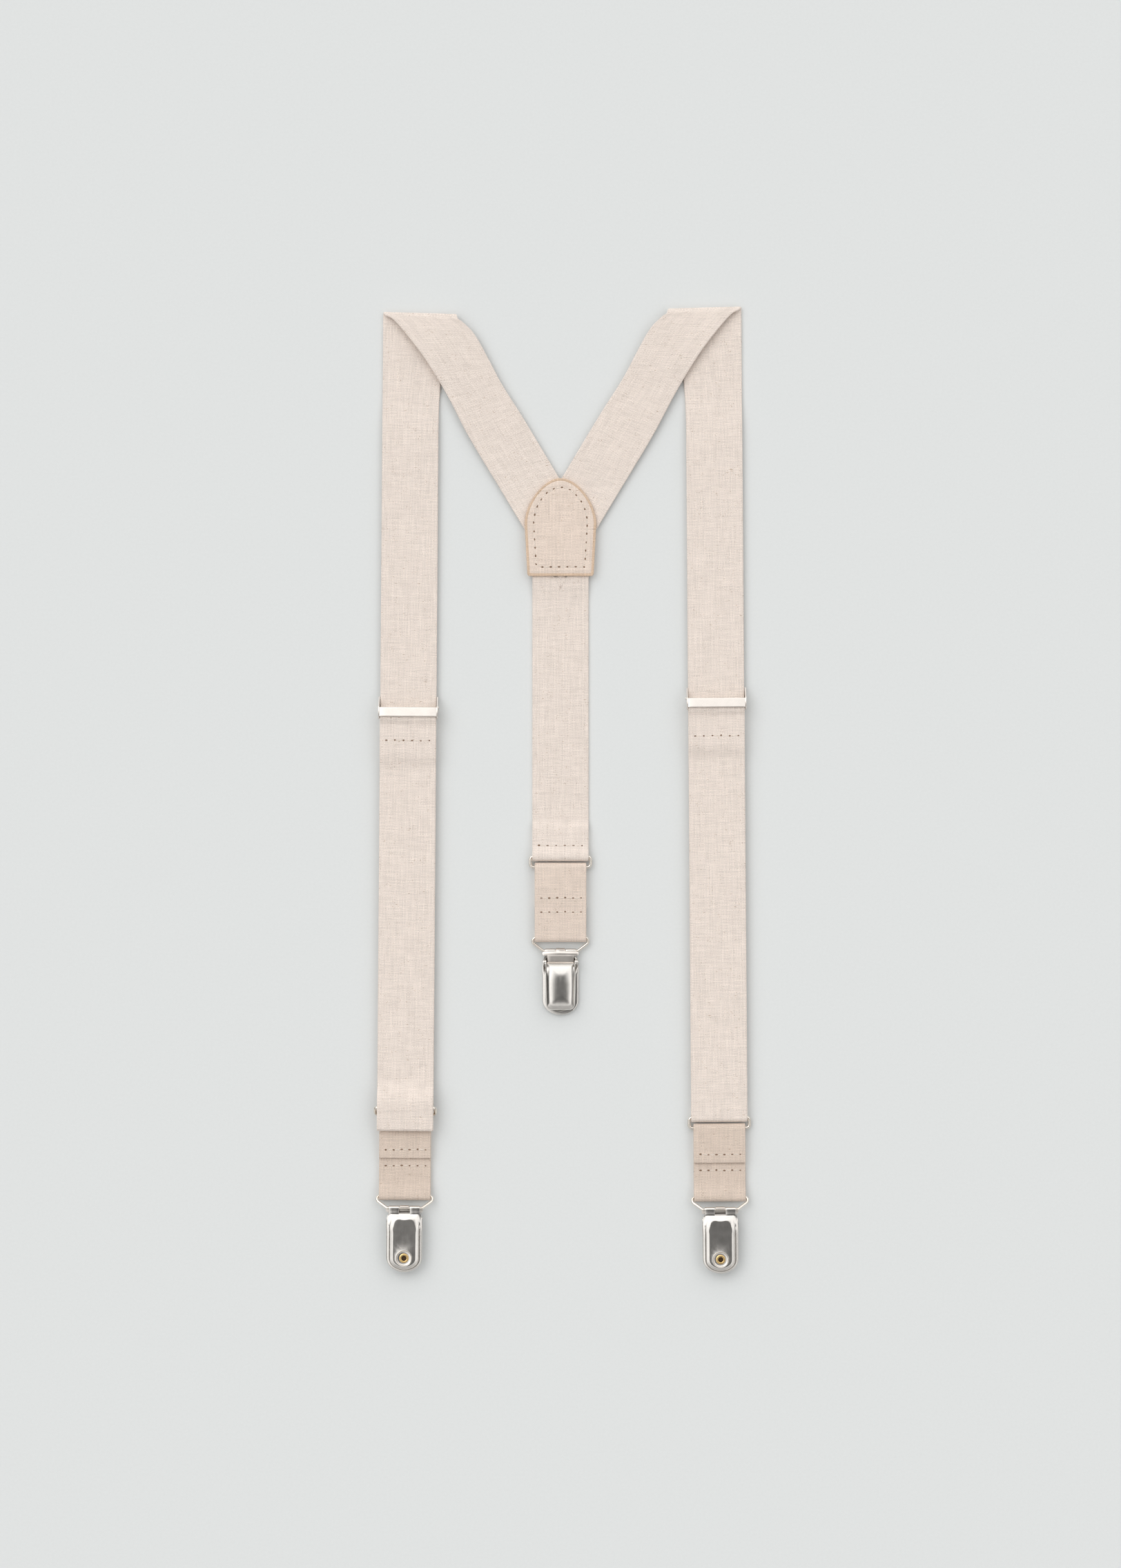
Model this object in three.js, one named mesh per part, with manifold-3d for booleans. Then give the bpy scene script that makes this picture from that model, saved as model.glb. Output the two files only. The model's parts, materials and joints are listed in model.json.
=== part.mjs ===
// Y-back clip suspenders laid flat: elastic webbing straps, a stitched back patch,
// two toothed adjusters, three wire rings with fabric tabs, and three metal clips.
// Millimetres, +Z up. The table is z = 0, +Y runs up towards the shoulders.
import * as THREE from 'three';
import * as BufferGeometryUtils from 'three/addons/utils/BufferGeometryUtils.js';
import { ConvexGeometry } from 'three/addons/geometries/ConvexGeometry.js';
import Module from 'manifold-3d';

const wasm = await Module();
wasm.setup();

// ---- driving dimensions ----------------------------------------------------

const webbingWidth = 24.8;
const webbingThickness = 1.2;
const clothGap = 0.2;            // air between layers of cloth, and cloth and metal
const metalGap = 0.1;            // air between metal pieces that bear on each other

const legSpacing = 136.4;        // between the front legs' centre lines at y = 0
const legSplay = 0.42;           // degrees each front leg leans outwards
const backX = -0.8;              // the back leg's centre line
const crossingY = 112.5;         // where the two diagonals' centre lines meet
const diagonalLean = 31;         // degrees each diagonal leans from the back leg's line
const shoulderTop = { left: 211.1, right: 213.5 };

const patchTop = 137.4;
const patchLength = 43.2;
const patchShoulder = 19.7;      // from the patch's top down to its widest line
const patchWidth = 31.7;
const patchFootWidth = 29.4;
const patchInnerThickness = 1.0;
const patchOuterThickness = 1.1;

const sheet = 0.6;               // sheet metal of the frames and plates
const pinRadius = 0.4;           // pivot stubs
const pinGap = 0.08;
const wireStep = 1.2;            // between a bent wire's facets

const adjusterY = { left: 36.3, right: 40.4 };   // the cam pivots
const adjusterBand = 4.1;        // visible back band, along the strap
const adjusterPivotZ = 0.8;
const leverRollRadius = 0.5;
const leverLength = 12.5;
const loopBarRadius = 0.45;
const loopBarDrop = 4.4;         // from the pivot down to the bar in the sewn loop
const earReach = 4.8;            // the ears' length above the pivot
const sewnTail = 17;             // from the loop bar to the cut end of the sewn tail
const adjusterRise = 104;        // how far an adjuster can travel up its strap
const adjusterDrop = 180;        // and down it: the ring travels half as far
const endClearance = 0.8;        // left between an adjuster at its highest and the shoulder's bend
const ringClearance = 8;         // left between a ring at its highest and the strap that stays put
const leastReturn = 9;           // what is left of the return strap at the lowest setting
const bightRun = 13;             // webbing from the ring's upper bar to the end of its bight

const ringWire = 1.4;
const ringPlay = 0.8;            // left between the ring's bars with both webbings in it
const ringCorner = 1.1;
const ringLevel = 2.0;           // height of a ring's bar in a loop lying on the table

const tabWidth = 22.8;
const tabLap = 6.2;              // how far a tab's two ends overlap
const bailWire = 1.2;
const bailLength = 5.9;          // from its bar in the tab to its bar in the clip
const bailHalfTop = 12.25;
const bailHalfFoot = 7.7;
const bailCorner = 1.1;
const bailLevel = 2.0;           // height of the bail's bar in the tab

const clipWidth = 15.8;
const clipLength = 28.2;         // from the knuckle axis to the rounded foot
const knuckleLevel = 1.9;        // of the knuckle axis above the clip's back panel
const knuckleRadius = 1.06;
const knuckleHalf = 6.8;
const tongueGapHalf = 2.4;
const tongueWidth = 4.0;
const clipHeight = 6.7;          // from the back panel to the top of the cover lever
const leverPivot = [-4.8, 4.6];  // y and height of the cover lever's pivot in the clip
const coverWidth = 13.6;
const coverLength = 21;
const jawWidth = 11.6;
const wingSpan = 16.2;
const eyeletFromFoot = 6.3;

// ---- levels and places worked out from them --------------------------------

const deg = Math.PI / 180;
const halfWebbing = webbingThickness / 2;
const layerStep = webbingThickness + clothGap;
const pi = Math.PI;

// the strap lies over the lever's roll; the sewn tail, loop bar and band stack above it
const strapLevel = adjusterPivotZ + leverRollRadius + clothGap + halfWebbing;
const tailLevel = strapLevel + layerStep;
const loopBarLevel = tailLevel + halfWebbing + clothGap + loopBarRadius;
const loopTopLevel = 2 * loopBarLevel - tailLevel;
const bandLevel = loopTopLevel + halfWebbing + clothGap;
const returnLevel = tailLevel;
const foldRadius = ringWire / 2 + halfWebbing + 0.1;
const patchLevel = patchInnerThickness + clothGap + halfWebbing;
const shoulderFoot = Math.max(adjusterY.left, adjusterY.right) + adjusterRise + earReach + endClearance;
const rigidRun = adjusterRise / 2 + ringClearance;
const returnRun = adjusterDrop / 2 + leastReturn;
const ringBars = ringWire + 2 * webbingThickness + ringPlay;   // between the bars' centres
const bailFoldRadius = bailWire / 2 + halfWebbing + 0.2;
const tabFlapLevel = halfWebbing + 2 * layerStep;

const linen = { color: 0xe3d5c8, roughness: 0.95, metalness: 0 };
const linenTab = { color: 0xd6c4b3, roughness: 0.95, metalness: 0 };
const linenPatch = { color: 0xe0cdbc, roughness: 0.9, metalness: 0 };
const nickel = { color: 0xc8c6c2, roughness: 0.22, metalness: 1 };
const paleMetal = { color: 0xddd2c2, roughness: 0.3, metalness: 1 };
const brass = { color: 0xc9a765, roughness: 0.3, metalness: 1 };
const plastic = { color: 0xe9e6e0, roughness: 0.5, metalness: 0 };

// ---- helpers ---------------------------------------------------------------

function mesh(name, geometry, look) {
  const made = new THREE.Mesh(geometry, new THREE.MeshStandardMaterial(look));
  made.name = name;
  return made;
}

function solid(geometry) {
  const plain = geometry.clone();
  plain.deleteAttribute('normal');
  plain.deleteAttribute('uv');
  const merged = BufferGeometryUtils.mergeVertices(plain, 1e-4);
  return new wasm.Manifold(new wasm.Mesh({
    numProp: 3,
    vertProperties: new Float32Array(merged.attributes.position.array),
    triVerts: new Uint32Array(merged.index.array),
  }));
}

function geometryOf(manifold) {
  const { vertProperties, triVerts } = manifold.getMesh();
  const geometry = new THREE.BufferGeometry();
  geometry.setAttribute('position', new THREE.BufferAttribute(vertProperties, 3));
  geometry.setIndex(new THREE.BufferAttribute(triVerts, 1));
  return geometry;
}

function joined(...geometries) {
  return geometryOf(geometries.map(solid).reduce((whole, piece) => whole.add(piece)));
}

function cut(geometry, ...cutters) {
  return geometryOf(cutters.map(solid).reduce((whole, piece) => whole.subtract(piece), solid(geometry)));
}

function box(x0, x1, y0, y1, z0, z1) {
  return new THREE.BoxGeometry(x1 - x0, y1 - y0, z1 - z0)
    .translate((x0 + x1) / 2, (y0 + y1) / 2, (z0 + z1) / 2);
}

// a rod along X
function rod(radius, x0, x1, y, z, sides = 10) {
  return new THREE.CylinderGeometry(radius, radius, x1 - x0, sides)
    .rotateZ(pi / 2).translate((x0 + x1) / 2, y, z);
}

// a side outline, drawn as (y, z) points, made a slab that spans x0 to x1
function slab(outline, x0, x1) {
  const shape = new THREE.Shape(outline.map(([y, z]) => new THREE.Vector2(y, z)));
  const turn = new THREE.Matrix4().makeBasis(
    new THREE.Vector3(0, 1, 0), new THREE.Vector3(0, 0, 1), new THREE.Vector3(1, 0, 0));
  return new THREE.ExtrudeGeometry(shape, { depth: x1 - x0, bevelEnabled: false })
    .applyMatrix4(turn).translate(x0, 0, 0);
}

// a strip of even thickness bent along a path of (y, z) points, spanning a width along X
function strip(path, thickness, width) {
  const sides = [[], []];
  path.forEach(([y, z], i) => {
    const before = path[Math.max(i - 1, 0)];
    const after = path[Math.min(i + 1, path.length - 1)];
    const tangent = new THREE.Vector2(after[0] - before[0], after[1] - before[1]).normalize();
    sides[0].push([y - tangent.y * thickness / 2, z + tangent.x * thickness / 2]);
    sides[1].unshift([y + tangent.y * thickness / 2, z - tangent.x * thickness / 2]);
  });
  return slab([...sides[0], ...sides[1]], -width / 2, width / 2);
}

// an arc's points about (y, z), from one angle to another in degrees
function arc(y, z, radius, from, to, steps = 8) {
  return Array.from({ length: steps + 1 }, (_, i) => {
    const angle = (from + (to - from) * i / steps) * deg;
    return [y + radius * Math.cos(angle), z + radius * Math.sin(angle)];
  });
}

// an easy slope between two levels, as (y, z) points
function slope(y0, z0, y1, z1, steps = 6) {
  return Array.from({ length: steps + 1 }, (_, i) => {
    const t = i / steps;
    return [y0 + (y1 - y0) * t, z0 + (z1 - z0) * t * t * (3 - 2 * t)];
  });
}

// a round wire along a curve, in even steps of about the given length
function wire(curve, diameter, stepLength, sides = 8) {
  const steps = Math.round(curve.getLength() / stepLength);
  const section = new THREE.Shape(Array.from({ length: sides }, (_, i) => new THREE.Vector2(
    Math.cos(2 * pi * i / sides) * diameter / 2, Math.sin(2 * pi * i / sides) * diameter / 2)));
  return new THREE.ExtrudeGeometry(section, { steps, extrudePath: curve, bevelEnabled: false });
}

// a flat path of straight runs with rounded corners, in the XY plane
function roundedPath(points, radius) {
  const path = new THREE.CurvePath();
  const corners = points.map(([x, y]) => new THREE.Vector3(x, y, 0));
  let from = corners[0];
  for (let i = 1; i < corners.length - 1; i += 1) {
    const back = corners[i - 1].clone().sub(corners[i]).normalize();
    const ahead = corners[i + 1].clone().sub(corners[i]).normalize();
    const start = corners[i].clone().addScaledVector(back, radius);
    const end = corners[i].clone().addScaledVector(ahead, radius);
    path.add(new THREE.LineCurve3(from, start));
    path.add(new THREE.QuadraticBezierCurve3(start, corners[i], end));
    from = end;
  }
  path.add(new THREE.LineCurve3(from, corners.at(-1)));
  return path;
}

// the block that wraps round a stack of outlines, each [shape, z]
function wrapped(...layers) {
  return new ConvexGeometry(layers.flatMap(([shape, z]) =>
    shape.getPoints(4).map((p) => new THREE.Vector3(p.x, p.y, z))));
}

// ---- webbing ---------------------------------------------------------------

const sideOf = { left: -1, right: 1 };
const legX = (leg, y) => sideOf[leg] * (legSpacing / 2 - Math.tan(legSplay * deg) * y);

// the part of a front strap that leaves the patch, folds over at the shoulder and comes down
function shoulderStrap(leg) {
  const side = sideOf[leg];
  const top = shoulderTop[leg];
  const lean = diagonalLean * deg;
  const half = webbingWidth / 2;
  const tableLevel = halfWebbing + 0.28;
  // out: away from the body's centre; down: below the shoulder's top
  const at = (out, down, z) =>
    new THREE.Vector3(legX(leg, top - down) + side * out, top - down, z);
  const along = (edge, y, z) => {
    const away = new THREE.Vector3(side * Math.cos(lean), -Math.sin(lean), 0).multiplyScalar(edge * half);
    const foot = new THREE.Vector3(backX, crossingY, 0).add(away);
    return new THREE.Vector3(foot.x + side * Math.tan(lean) * (y - foot.y), y, z);
  };
  const rise = top - shoulderFoot;
  const outerEdge = new THREE.CatmullRomCurve3([
    at(half, rise, strapLevel), at(half, rise - 12, strapLevel - 0.3), at(half, rise - 24, tableLevel),
    at(half, 12, tableLevel), at(half, 1.6, tableLevel), at(half - 0.1, 0.7, 1.6),
    at(half - 0.9, 1.7, 2.6), at(8.2, 3.4, 3.3), at(2.1, 10.1, 4.2), at(-6.7, 21.6, 4.1),
    at(-16.6, 37.6, 2.9), along(1, crossingY + 44, 2.3), along(1, crossingY + 20, patchLevel),
    along(1, crossingY - 14, patchLevel),
  ], false, 'centripetal');
  const innerEdge = new THREE.CatmullRomCurve3([
    at(-half, rise, strapLevel), at(-half, rise - 12, strapLevel - 0.3),
    at(-half - 0.4, rise - 24, tableLevel), at(-half - 3, 13, tableLevel),
    at(-half - 6.6, 3.6, tableLevel), at(-half - 7.4, 1.4, 2.0),
    at(-half - 8.4, 3.3, 3.2), at(-half - 10, 4.2, 3.2), at(-half - 15.4, 9.6, 3.0),
    at(-half - 21.8, 20.6, 2.6), at(-half - 27.5, 31.2, 2.4), along(-1, crossingY + 52, 2.3),
    along(-1, crossingY + 26, patchLevel),
    along(-1, crossingY - 4, patchLevel),
  ], false, 'centripetal');
  const steps = 46;
  const across = 2;
  const rows = Array.from({ length: steps + 1 }, (_, i) => {
    const t = i / steps;
    const [a, b] = [outerEdge.getPoint(t), innerEdge.getPoint(t)];
    const ahead = Math.min(t + 0.004, 1);
    const behind = Math.max(t - 0.004, 0);
    const run = outerEdge.getPoint(ahead).add(innerEdge.getPoint(ahead))
      .sub(outerEdge.getPoint(behind)).sub(innerEdge.getPoint(behind));
    const up = run.cross(b.clone().sub(a)).normalize().multiplyScalar(-side * halfWebbing);
    const lines = Array.from({ length: across + 1 }, (__, k) => a.clone().lerp(b, k / across));
    return [...lines.map((p) => p.clone().add(up)), ...lines.reverse().map((p) => p.clone().sub(up))];
  });
  const ring = 2 * (across + 1);
  const index = [];
  for (let i = 0; i < steps; i += 1) {
    for (let k = 0; k < ring; k += 1) {
      const [a, b] = [i * ring + k, i * ring + (k + 1) % ring];
      index.push(a, b, a + ring, b, b + ring, a + ring);
    }
  }
  for (let k = 0; k < across; k += 1) {
    const end = steps * ring;
    index.push(k, ring - 1 - k, k + 1, k + 1, ring - 1 - k, ring - 2 - k);
    index.push(end + k, end + k + 1, end + ring - 1 - k);
    index.push(end + k + 1, end + ring - 2 - k, end + ring - 1 - k);
  }
  const geometry = new THREE.BufferGeometry().setFromPoints(rows.flat());
  geometry.setIndex(side < 0 ? index.reverse() : index);
  // the two diagonals butt at the middle of the patch, above the back strap's end
  const seam = clothGap / 2;
  const far = 60;
  const beyond = side < 0
    ? box(backX - seam, backX + far, far, top, -1, far)
    : box(backX - far, backX + seam, far, top, -1, far);
  const below = box(backX - far, backX + far, far, backStrapTop + clothGap, -1, far);
  return mesh(`${leg}_shoulder_strap`, cut(geometry, beyond, below), linen);
}

// the back strap, from inside the patch down to its sewn loop in the ring
const backStrapTop = 106;
const backRingY = -31.9;
function backStrap() {
  const barY = backRingY + ringBars / 2;
  const over = halfWebbing + layerStep;
  const patchFoot = patchTop - patchLength;
  const path = [
    [backStrapTop, patchLevel], ...slope(patchFoot - 1, patchLevel, patchFoot - 12, halfWebbing),
    ...slope(barY + 17, halfWebbing, barY + 11, over),
    ...slope(barY + 5, over, barY + 0.6, ringLevel + foldRadius, 4),
    ...arc(barY, ringLevel, foldRadius, 90, 270, 10), [barY + 11.5, halfWebbing],
  ];
  return mesh('back_strap', strip(path, webbingThickness, webbingWidth).translate(backX, 0, 0), linen);
}

function patchOutline(inset) {
  const half = patchWidth / 2 - inset;
  const footHalf = patchFootWidth / 2 - inset;
  const corner = 2.2;
  const foot = patchTop - patchLength + inset;
  const widest = patchTop - patchShoulder;
  const top = patchTop - inset;
  const shape = new THREE.Shape();
  shape.moveTo(-footHalf + corner, foot);
  shape.lineTo(footHalf - corner, foot);
  shape.quadraticCurveTo(footHalf, foot, footHalf + 0.1, foot + corner);
  shape.lineTo(half, widest);
  shape.bezierCurveTo(half - 0.4, widest + 9, 7.2, top, 0, top);
  shape.bezierCurveTo(-7.2, top, -half + 0.4, widest + 9, -half, widest);
  shape.lineTo(-footHalf - 0.1, foot + corner);
  shape.quadraticCurveTo(-footHalf, foot, -footHalf + corner, foot);
  return shape;
}

function patches() {
  const outerLevel = patchInnerThickness + webbingThickness + 2 * clothGap;
  const plate = (inset, depth, z) => new THREE.ExtrudeGeometry(
    patchOutline(inset), { depth, bevelEnabled: false, curveSegments: 10 }).translate(backX, 0, z);
  return [
    mesh('patch_inner', plate(0.4, patchInnerThickness, 0), linenPatch),
    mesh('patch_outer', plate(0, patchOuterThickness, outerLevel), linenPatch),
  ];
}

// ---- a front leg below the shoulder, in the leg's own frame ----------------

const legs = {
  left: { ringY: -141.7, ringTilt: 45, bight: -150.3, tabFoot: -181.2, seam: -162.5 },
  right: { ringY: -147.0, ringTilt: 0, bight: 0, tabFoot: -181.8, seam: -164.6 },
};

function ringBarsAt({ ringY, ringTilt }) {
  const [dy, dz] = [Math.cos(ringTilt * deg) * ringBars / 2, Math.sin(ringTilt * deg) * ringBars / 2];
  const middle = ringLevel + dz;
  return { upper: [ringY + dy, middle + dz], lower: [ringY - dy, middle - dz], middle };
}

// webbing that passes down, round the ring's upper bar, and back up on the camera's side
function bightPath(leg) {
  const { upper, lower } = ringBarsAt(legs[leg]);
  const start = upper[0] + bightRun;
  if (!legs[leg].bight) {
    return [
      [start, strapLevel], ...slope(start - 3, strapLevel, upper[0] + 1.5, upper[1] - foldRadius),
      ...arc(upper[0], upper[1], foldRadius, 270, 90, 10),
      ...slope(upper[0] + 1.5, upper[1] + foldRadius, start - 3, returnLevel, 3), [start, returnLevel],
    ];
  }
  // a slack loop: it passes between the tilted ring's bars and droops over the tab
  const over = Math.max(lower[1] + foldRadius, tabFlapLevel) + webbingThickness + 2 * clothGap;
  const turn = halfWebbing + 0.15;
  const foot = legs[leg].bight + halfWebbing + turn;
  return [
    [start, strapLevel], ...slope(start - 4, strapLevel, upper[0], upper[1] - foldRadius - clothGap, 4),
    ...slope(upper[0] - 1.2, upper[1] - foldRadius + 0.15, lower[0] - 0.4, over, 3),
    ...arc(foot, over + turn, turn, 270, 90, 8),
    ...slope(lower[0] + 0.5, over + 2 * turn, upper[0], upper[1] + foldRadius + 0.1, 4),
    ...slope(upper[0] + 2, upper[1] + foldRadius, start - 1, returnLevel, 6), [start, returnLevel],
  ];
}

function legWebbing(leg) {
  const { upper } = ringBarsAt(legs[leg]);
  const start = upper[0] + bightRun + clothGap;
  const split = legs[leg].ringY + rigidRun;
  const barY = adjusterY[leg] - loopBarDrop;
  const sewnEnd = start + returnRun;
  const stitched = tailLevel + layerStep;
  const loopRadius = loopTopLevel - loopBarLevel;
  const webbing = (name, path) =>
    mesh(`${leg}_${name}`, strip(path, webbingThickness, webbingWidth), linen);
  return [
    webbing('front_strap', [[shoulderFoot - clothGap, strapLevel], [split, strapLevel]]),
    webbing('front_strap_lower', [[split - clothGap, strapLevel], [start, strapLevel]]),
    webbing('ring_bight', bightPath(leg)),
    webbing('return_strap', [[start, returnLevel], [sewnEnd - clothGap, returnLevel]]),
    webbing('sewn_end', [
      [sewnEnd, returnLevel], ...slope(barY - sewnTail - 5, returnLevel, barY - sewnTail + 1, stitched),
      ...slope(barY - 7, stitched, barY - 0.8, loopTopLevel, 5),
      ...arc(barY, loopBarLevel, loopRadius, 90, -90, 10), [barY - sewnTail, tailLevel],
    ]),
  ];
}

// ---- adjuster --------------------------------------------------------------

function adjusterEarOutline() {
  const top = bandLevel + sheet;
  const foot = -loopBarDrop - loopBarRadius - 0.3;
  return [
    [foot, loopBarLevel - loopBarRadius - 0.4], [-1.4, 0.1], [-0.6, 0], [0.9, 0],
    [earReach, 1.6], [earReach, 2.8], [0.6, top], [foot + 0.6, top], [foot, top - 0.6],
  ];
}

function adjuster(leg) {
  const inner = webbingWidth / 2 + clothGap;
  const outer = inner + sheet;
  const y = adjusterY[leg];
  const ear = (x0) => cut(slab(adjusterEarOutline(), x0, x0 + sheet),
    rod(pinRadius + pinGap, x0 - 1, x0 + sheet + 1, 0, adjusterPivotZ, 12));
  const bandTop = bandLevel + sheet;
  const lipFoot = strapLevel + halfWebbing + clothGap;
  const frame = joined(
    ear(-outer), ear(inner),
    box(-outer + 0.05, outer - 0.05, -adjusterBand, 0, bandLevel, bandTop),
    box(-inner - 0.05, inner + 0.05, -sheet, 0, lipFoot, bandLevel + 0.1),
    rod(loopBarRadius, -inner - 0.1, inner + 0.1, -loopBarDrop, loopBarLevel),
  );
  const halfLever = inner - clothGap;
  const teeth = 9;
  const toothMargin = 1.5;
  const toothPitch = 2 * (halfLever - toothMargin) / teeth;
  const tooth = (i) => {
    const start = -halfLever + toothMargin + (i + 0.25) * toothPitch;
    const tip = adjusterPivotZ + leverRollRadius + 0.1;
    return box(start, start + toothPitch / 2, -0.2, 0.3, tip - 0.3, tip);
  };
  const lever = joined(
    rod(leverRollRadius, -halfLever, halfLever, 0, adjusterPivotZ),
    rod(pinRadius, -outer - 0.35, outer + 0.35, 0, adjusterPivotZ, 12),
    slab([[0, adjusterPivotZ - 0.45], [0.1, adjusterPivotZ + 0.2], [-1.4, sheet], [-leverLength, sheet],
      [-leverLength, 0], [-1.2, 0]], -halfLever, halfLever),
    ...Array.from({ length: teeth }, (_, i) => tooth(i)),
  );
  const group = new THREE.Group();
  group.position.set(0, y, 0);
  group.add(mesh(`${leg}_adjuster_frame`, frame, nickel), mesh(`${leg}_adjuster_lever`, lever, nickel));
  return group;
}

// ---- ring, tab, bail and clip, for any leg ---------------------------------

// a wire bent to a long loop, its two ends butting in the middle of the upper bar
function ring(name, y, z, tilt) {
  const [halfX, halfY] = [webbingWidth / 2 + clothGap + ringWire / 2, ringBars / 2];
  const butt = 0.2;
  const path = roundedPath([[butt, halfY], [halfX, halfY], [halfX, -halfY], [-halfX, -halfY],
    [-halfX, halfY], [-butt, halfY]], ringCorner);
  const made = mesh(name, wire(path, ringWire, wireStep), paleMetal);
  made.position.set(0, y, z);
  made.rotation.x = tilt * deg;
  return made;
}

// a strip wrapped round the ring and the bail, its ends lapped and stitched. facing is 1
// where the lapped seam is on the upper side, and -1 where it is on the table's side
function tab(name, ringBarY, footY, seamY, facing) {
  const bailY = footY + bailFoldRadius + halfWebbing;
  const low = halfWebbing;
  const lapUnder = seamY + tabLap;
  const near = low + layerStep;
  const flip = ([y, z]) => (facing > 0 ? [y, z] : [y, 2 * ringLevel - z]);
  const path = [
    [lapUnder, near], ...slope(bailY + 6, near, bailY + 0.5, bailLevel + bailFoldRadius, 4),
    ...arc(bailY, bailLevel, bailFoldRadius, 90, 270, 10),
    ...slope(bailY + 0.8, bailLevel - bailFoldRadius, bailY + 4, low, 2),
    ...slope(ringBarY - 3, low, ringBarY - 0.8, ringLevel - foldRadius, 2),
    ...arc(ringBarY, ringLevel, foldRadius, -90, 90, 10),
    ...slope(ringBarY - 0.8, ringLevel + foldRadius, ringBarY - 4, tabFlapLevel, 2), [seamY, tabFlapLevel],
  ].map(flip);
  return mesh(name, strip(path, webbingThickness, tabWidth), linenTab);
}

// a wire bent to a flared loop, its ends butting in the tab
function bail(name, y, z, rise) {
  const butt = 0.2;
  const shoulder = -2.6;
  const path = roundedPath([[butt, 0], [bailHalfTop, 0], [bailHalfTop, shoulder],
    [bailHalfFoot, -bailLength], [-bailHalfFoot, -bailLength], [-bailHalfTop, shoulder],
    [-bailHalfTop, 0], [-butt, 0]], bailCorner);
  const made = mesh(name, wire(path, bailWire, wireStep), nickel);
  made.position.set(0, y, z);
  made.rotation.x = -Math.asin(rise / bailLength);
  return made;
}

function clipOutline(inset, top) {
  const half = clipWidth / 2 - inset;
  const shoulder = 6.9 - inset;
  const round = 6.6 - inset;
  const foot = -clipLength + inset;
  const shape = new THREE.Shape();
  shape.moveTo(-shoulder, top);
  shape.quadraticCurveTo(-half, top - 3, -half, top - 8);
  shape.lineTo(-half, foot + round);
  shape.bezierCurveTo(-half, foot + round * 0.35, -round * 0.55, foot, 0, foot);
  shape.bezierCurveTo(round * 0.55, foot, half, foot + round * 0.35, half, foot + round);
  shape.lineTo(half, top - 8);
  shape.quadraticCurveTo(half, top - 3, shoulder, top);
  return shape;
}

// a shallow pan: a flat floor and a rim that flares out to the outline
function pan(inset, top, floor, rim, flare) {
  return wrapped([clipOutline(inset + flare, top - 1.2), floor], [clipOutline(inset, top), rim],
    [clipOutline(inset, top), rim + inset]);
}

function clipBase() {
  const [pivotY, pivotZ] = leverPivot;
  const rimTop = 2.2;
  const top = -2.2;
  const eyeletY = -clipLength + eyeletFromFoot;
  const earInner = coverWidth / 2 + clothGap;
  const boreRadius = bailWire / 2 + pinGap;
  const disc = (radius, z0, z1) => new THREE.CylinderGeometry(radius, radius, z1 - z0, 14)
    .rotateX(pi / 2).translate(0, eyeletY, (z0 + z1) / 2);
  const dish = cut(pan(0, top, 0, rimTop, 2.5), pan(sheet, top - sheet, sheet, rimTop, 2.5));
  const earHalf = 1.4;
  const earOuter = earInner + sheet;
  // each ear stands on a foot that reaches in over the rim, and ends in a round eye
  const ear = (side) => {
    const x0 = side > 0 ? earInner : -earOuter;
    const footX = side > 0 ? earInner - 0.9 : -earOuter;
    return joined(
      box(x0, x0 + sheet, pivotY - earHalf, pivotY + earHalf, rimTop - 0.7, pivotZ),
      rod(1.0, x0, x0 + sheet, pivotY, pivotZ, 12),
      box(footX, footX + sheet + 0.9, pivotY - earHalf, pivotY + earHalf, rimTop - 0.9, rimTop - 0.3),
    );
  };
  const apron = (x0, x1) => slab([[-0.2, knuckleLevel - knuckleRadius + 0.05], [-0.9, knuckleLevel - 0.3],
    [-1.8, 1.3], [-4.2, sheet], [-4.2, 0], [-3, 0.02], [-1.6, 0.5]], x0, x1);
  const knuckle = (x0, x1) => joined(rod(knuckleRadius, x0, x1, 0, knuckleLevel, 12), apron(x0, x1));
  return cut(
    joined(dish, ear(1), ear(-1), disc(3.9, 0.2, 1.1),
      knuckle(-knuckleHalf, -tongueGapHalf), knuckle(tongueGapHalf, knuckleHalf)),
    rod(boreRadius, -20, 20, 0, knuckleLevel, 12),
    rod(pinRadius + pinGap, -20, 20, pivotY, pivotZ, 12),
    disc(3.4, -0.5, 0.45), disc(1.6, -0.5, 2),
  );
}

function clipJaw() {
  const hookRadius = bailWire / 2 + 0.15 + 0.25;
  const plate = 0.5;
  const neckLevel = knuckleLevel + knuckleRadius + metalGap + plate / 2;
  const tongue = strip([...arc(0, knuckleLevel, hookRadius, -60, 90, 8), [-1.3, knuckleLevel + hookRadius]],
    plate, tongueWidth);
  const wings = box(-wingSpan / 2, wingSpan / 2, -2.1, -0.1, neckLevel - 0.22, neckLevel + 0.33);
  const bridgeHalf = tongueWidth / 2 - 0.1;
  const bridge = box(-bridgeHalf, bridgeHalf, -1.2, -0.3, knuckleLevel + hookRadius, neckLevel);
  const lip = -clipLength + 4.6;
  const neck = strip([[-1.9, neckLevel], [-5, neckLevel], [-9, neckLevel - 0.3], [lip + 1.1, 2.95],
    [lip + 0.45, 2.8], [lip + 0.1, 2.5], [lip, 2.2]], plate, jawWidth);
  return joined(tongue, bridge, wings, neck);
}

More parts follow.
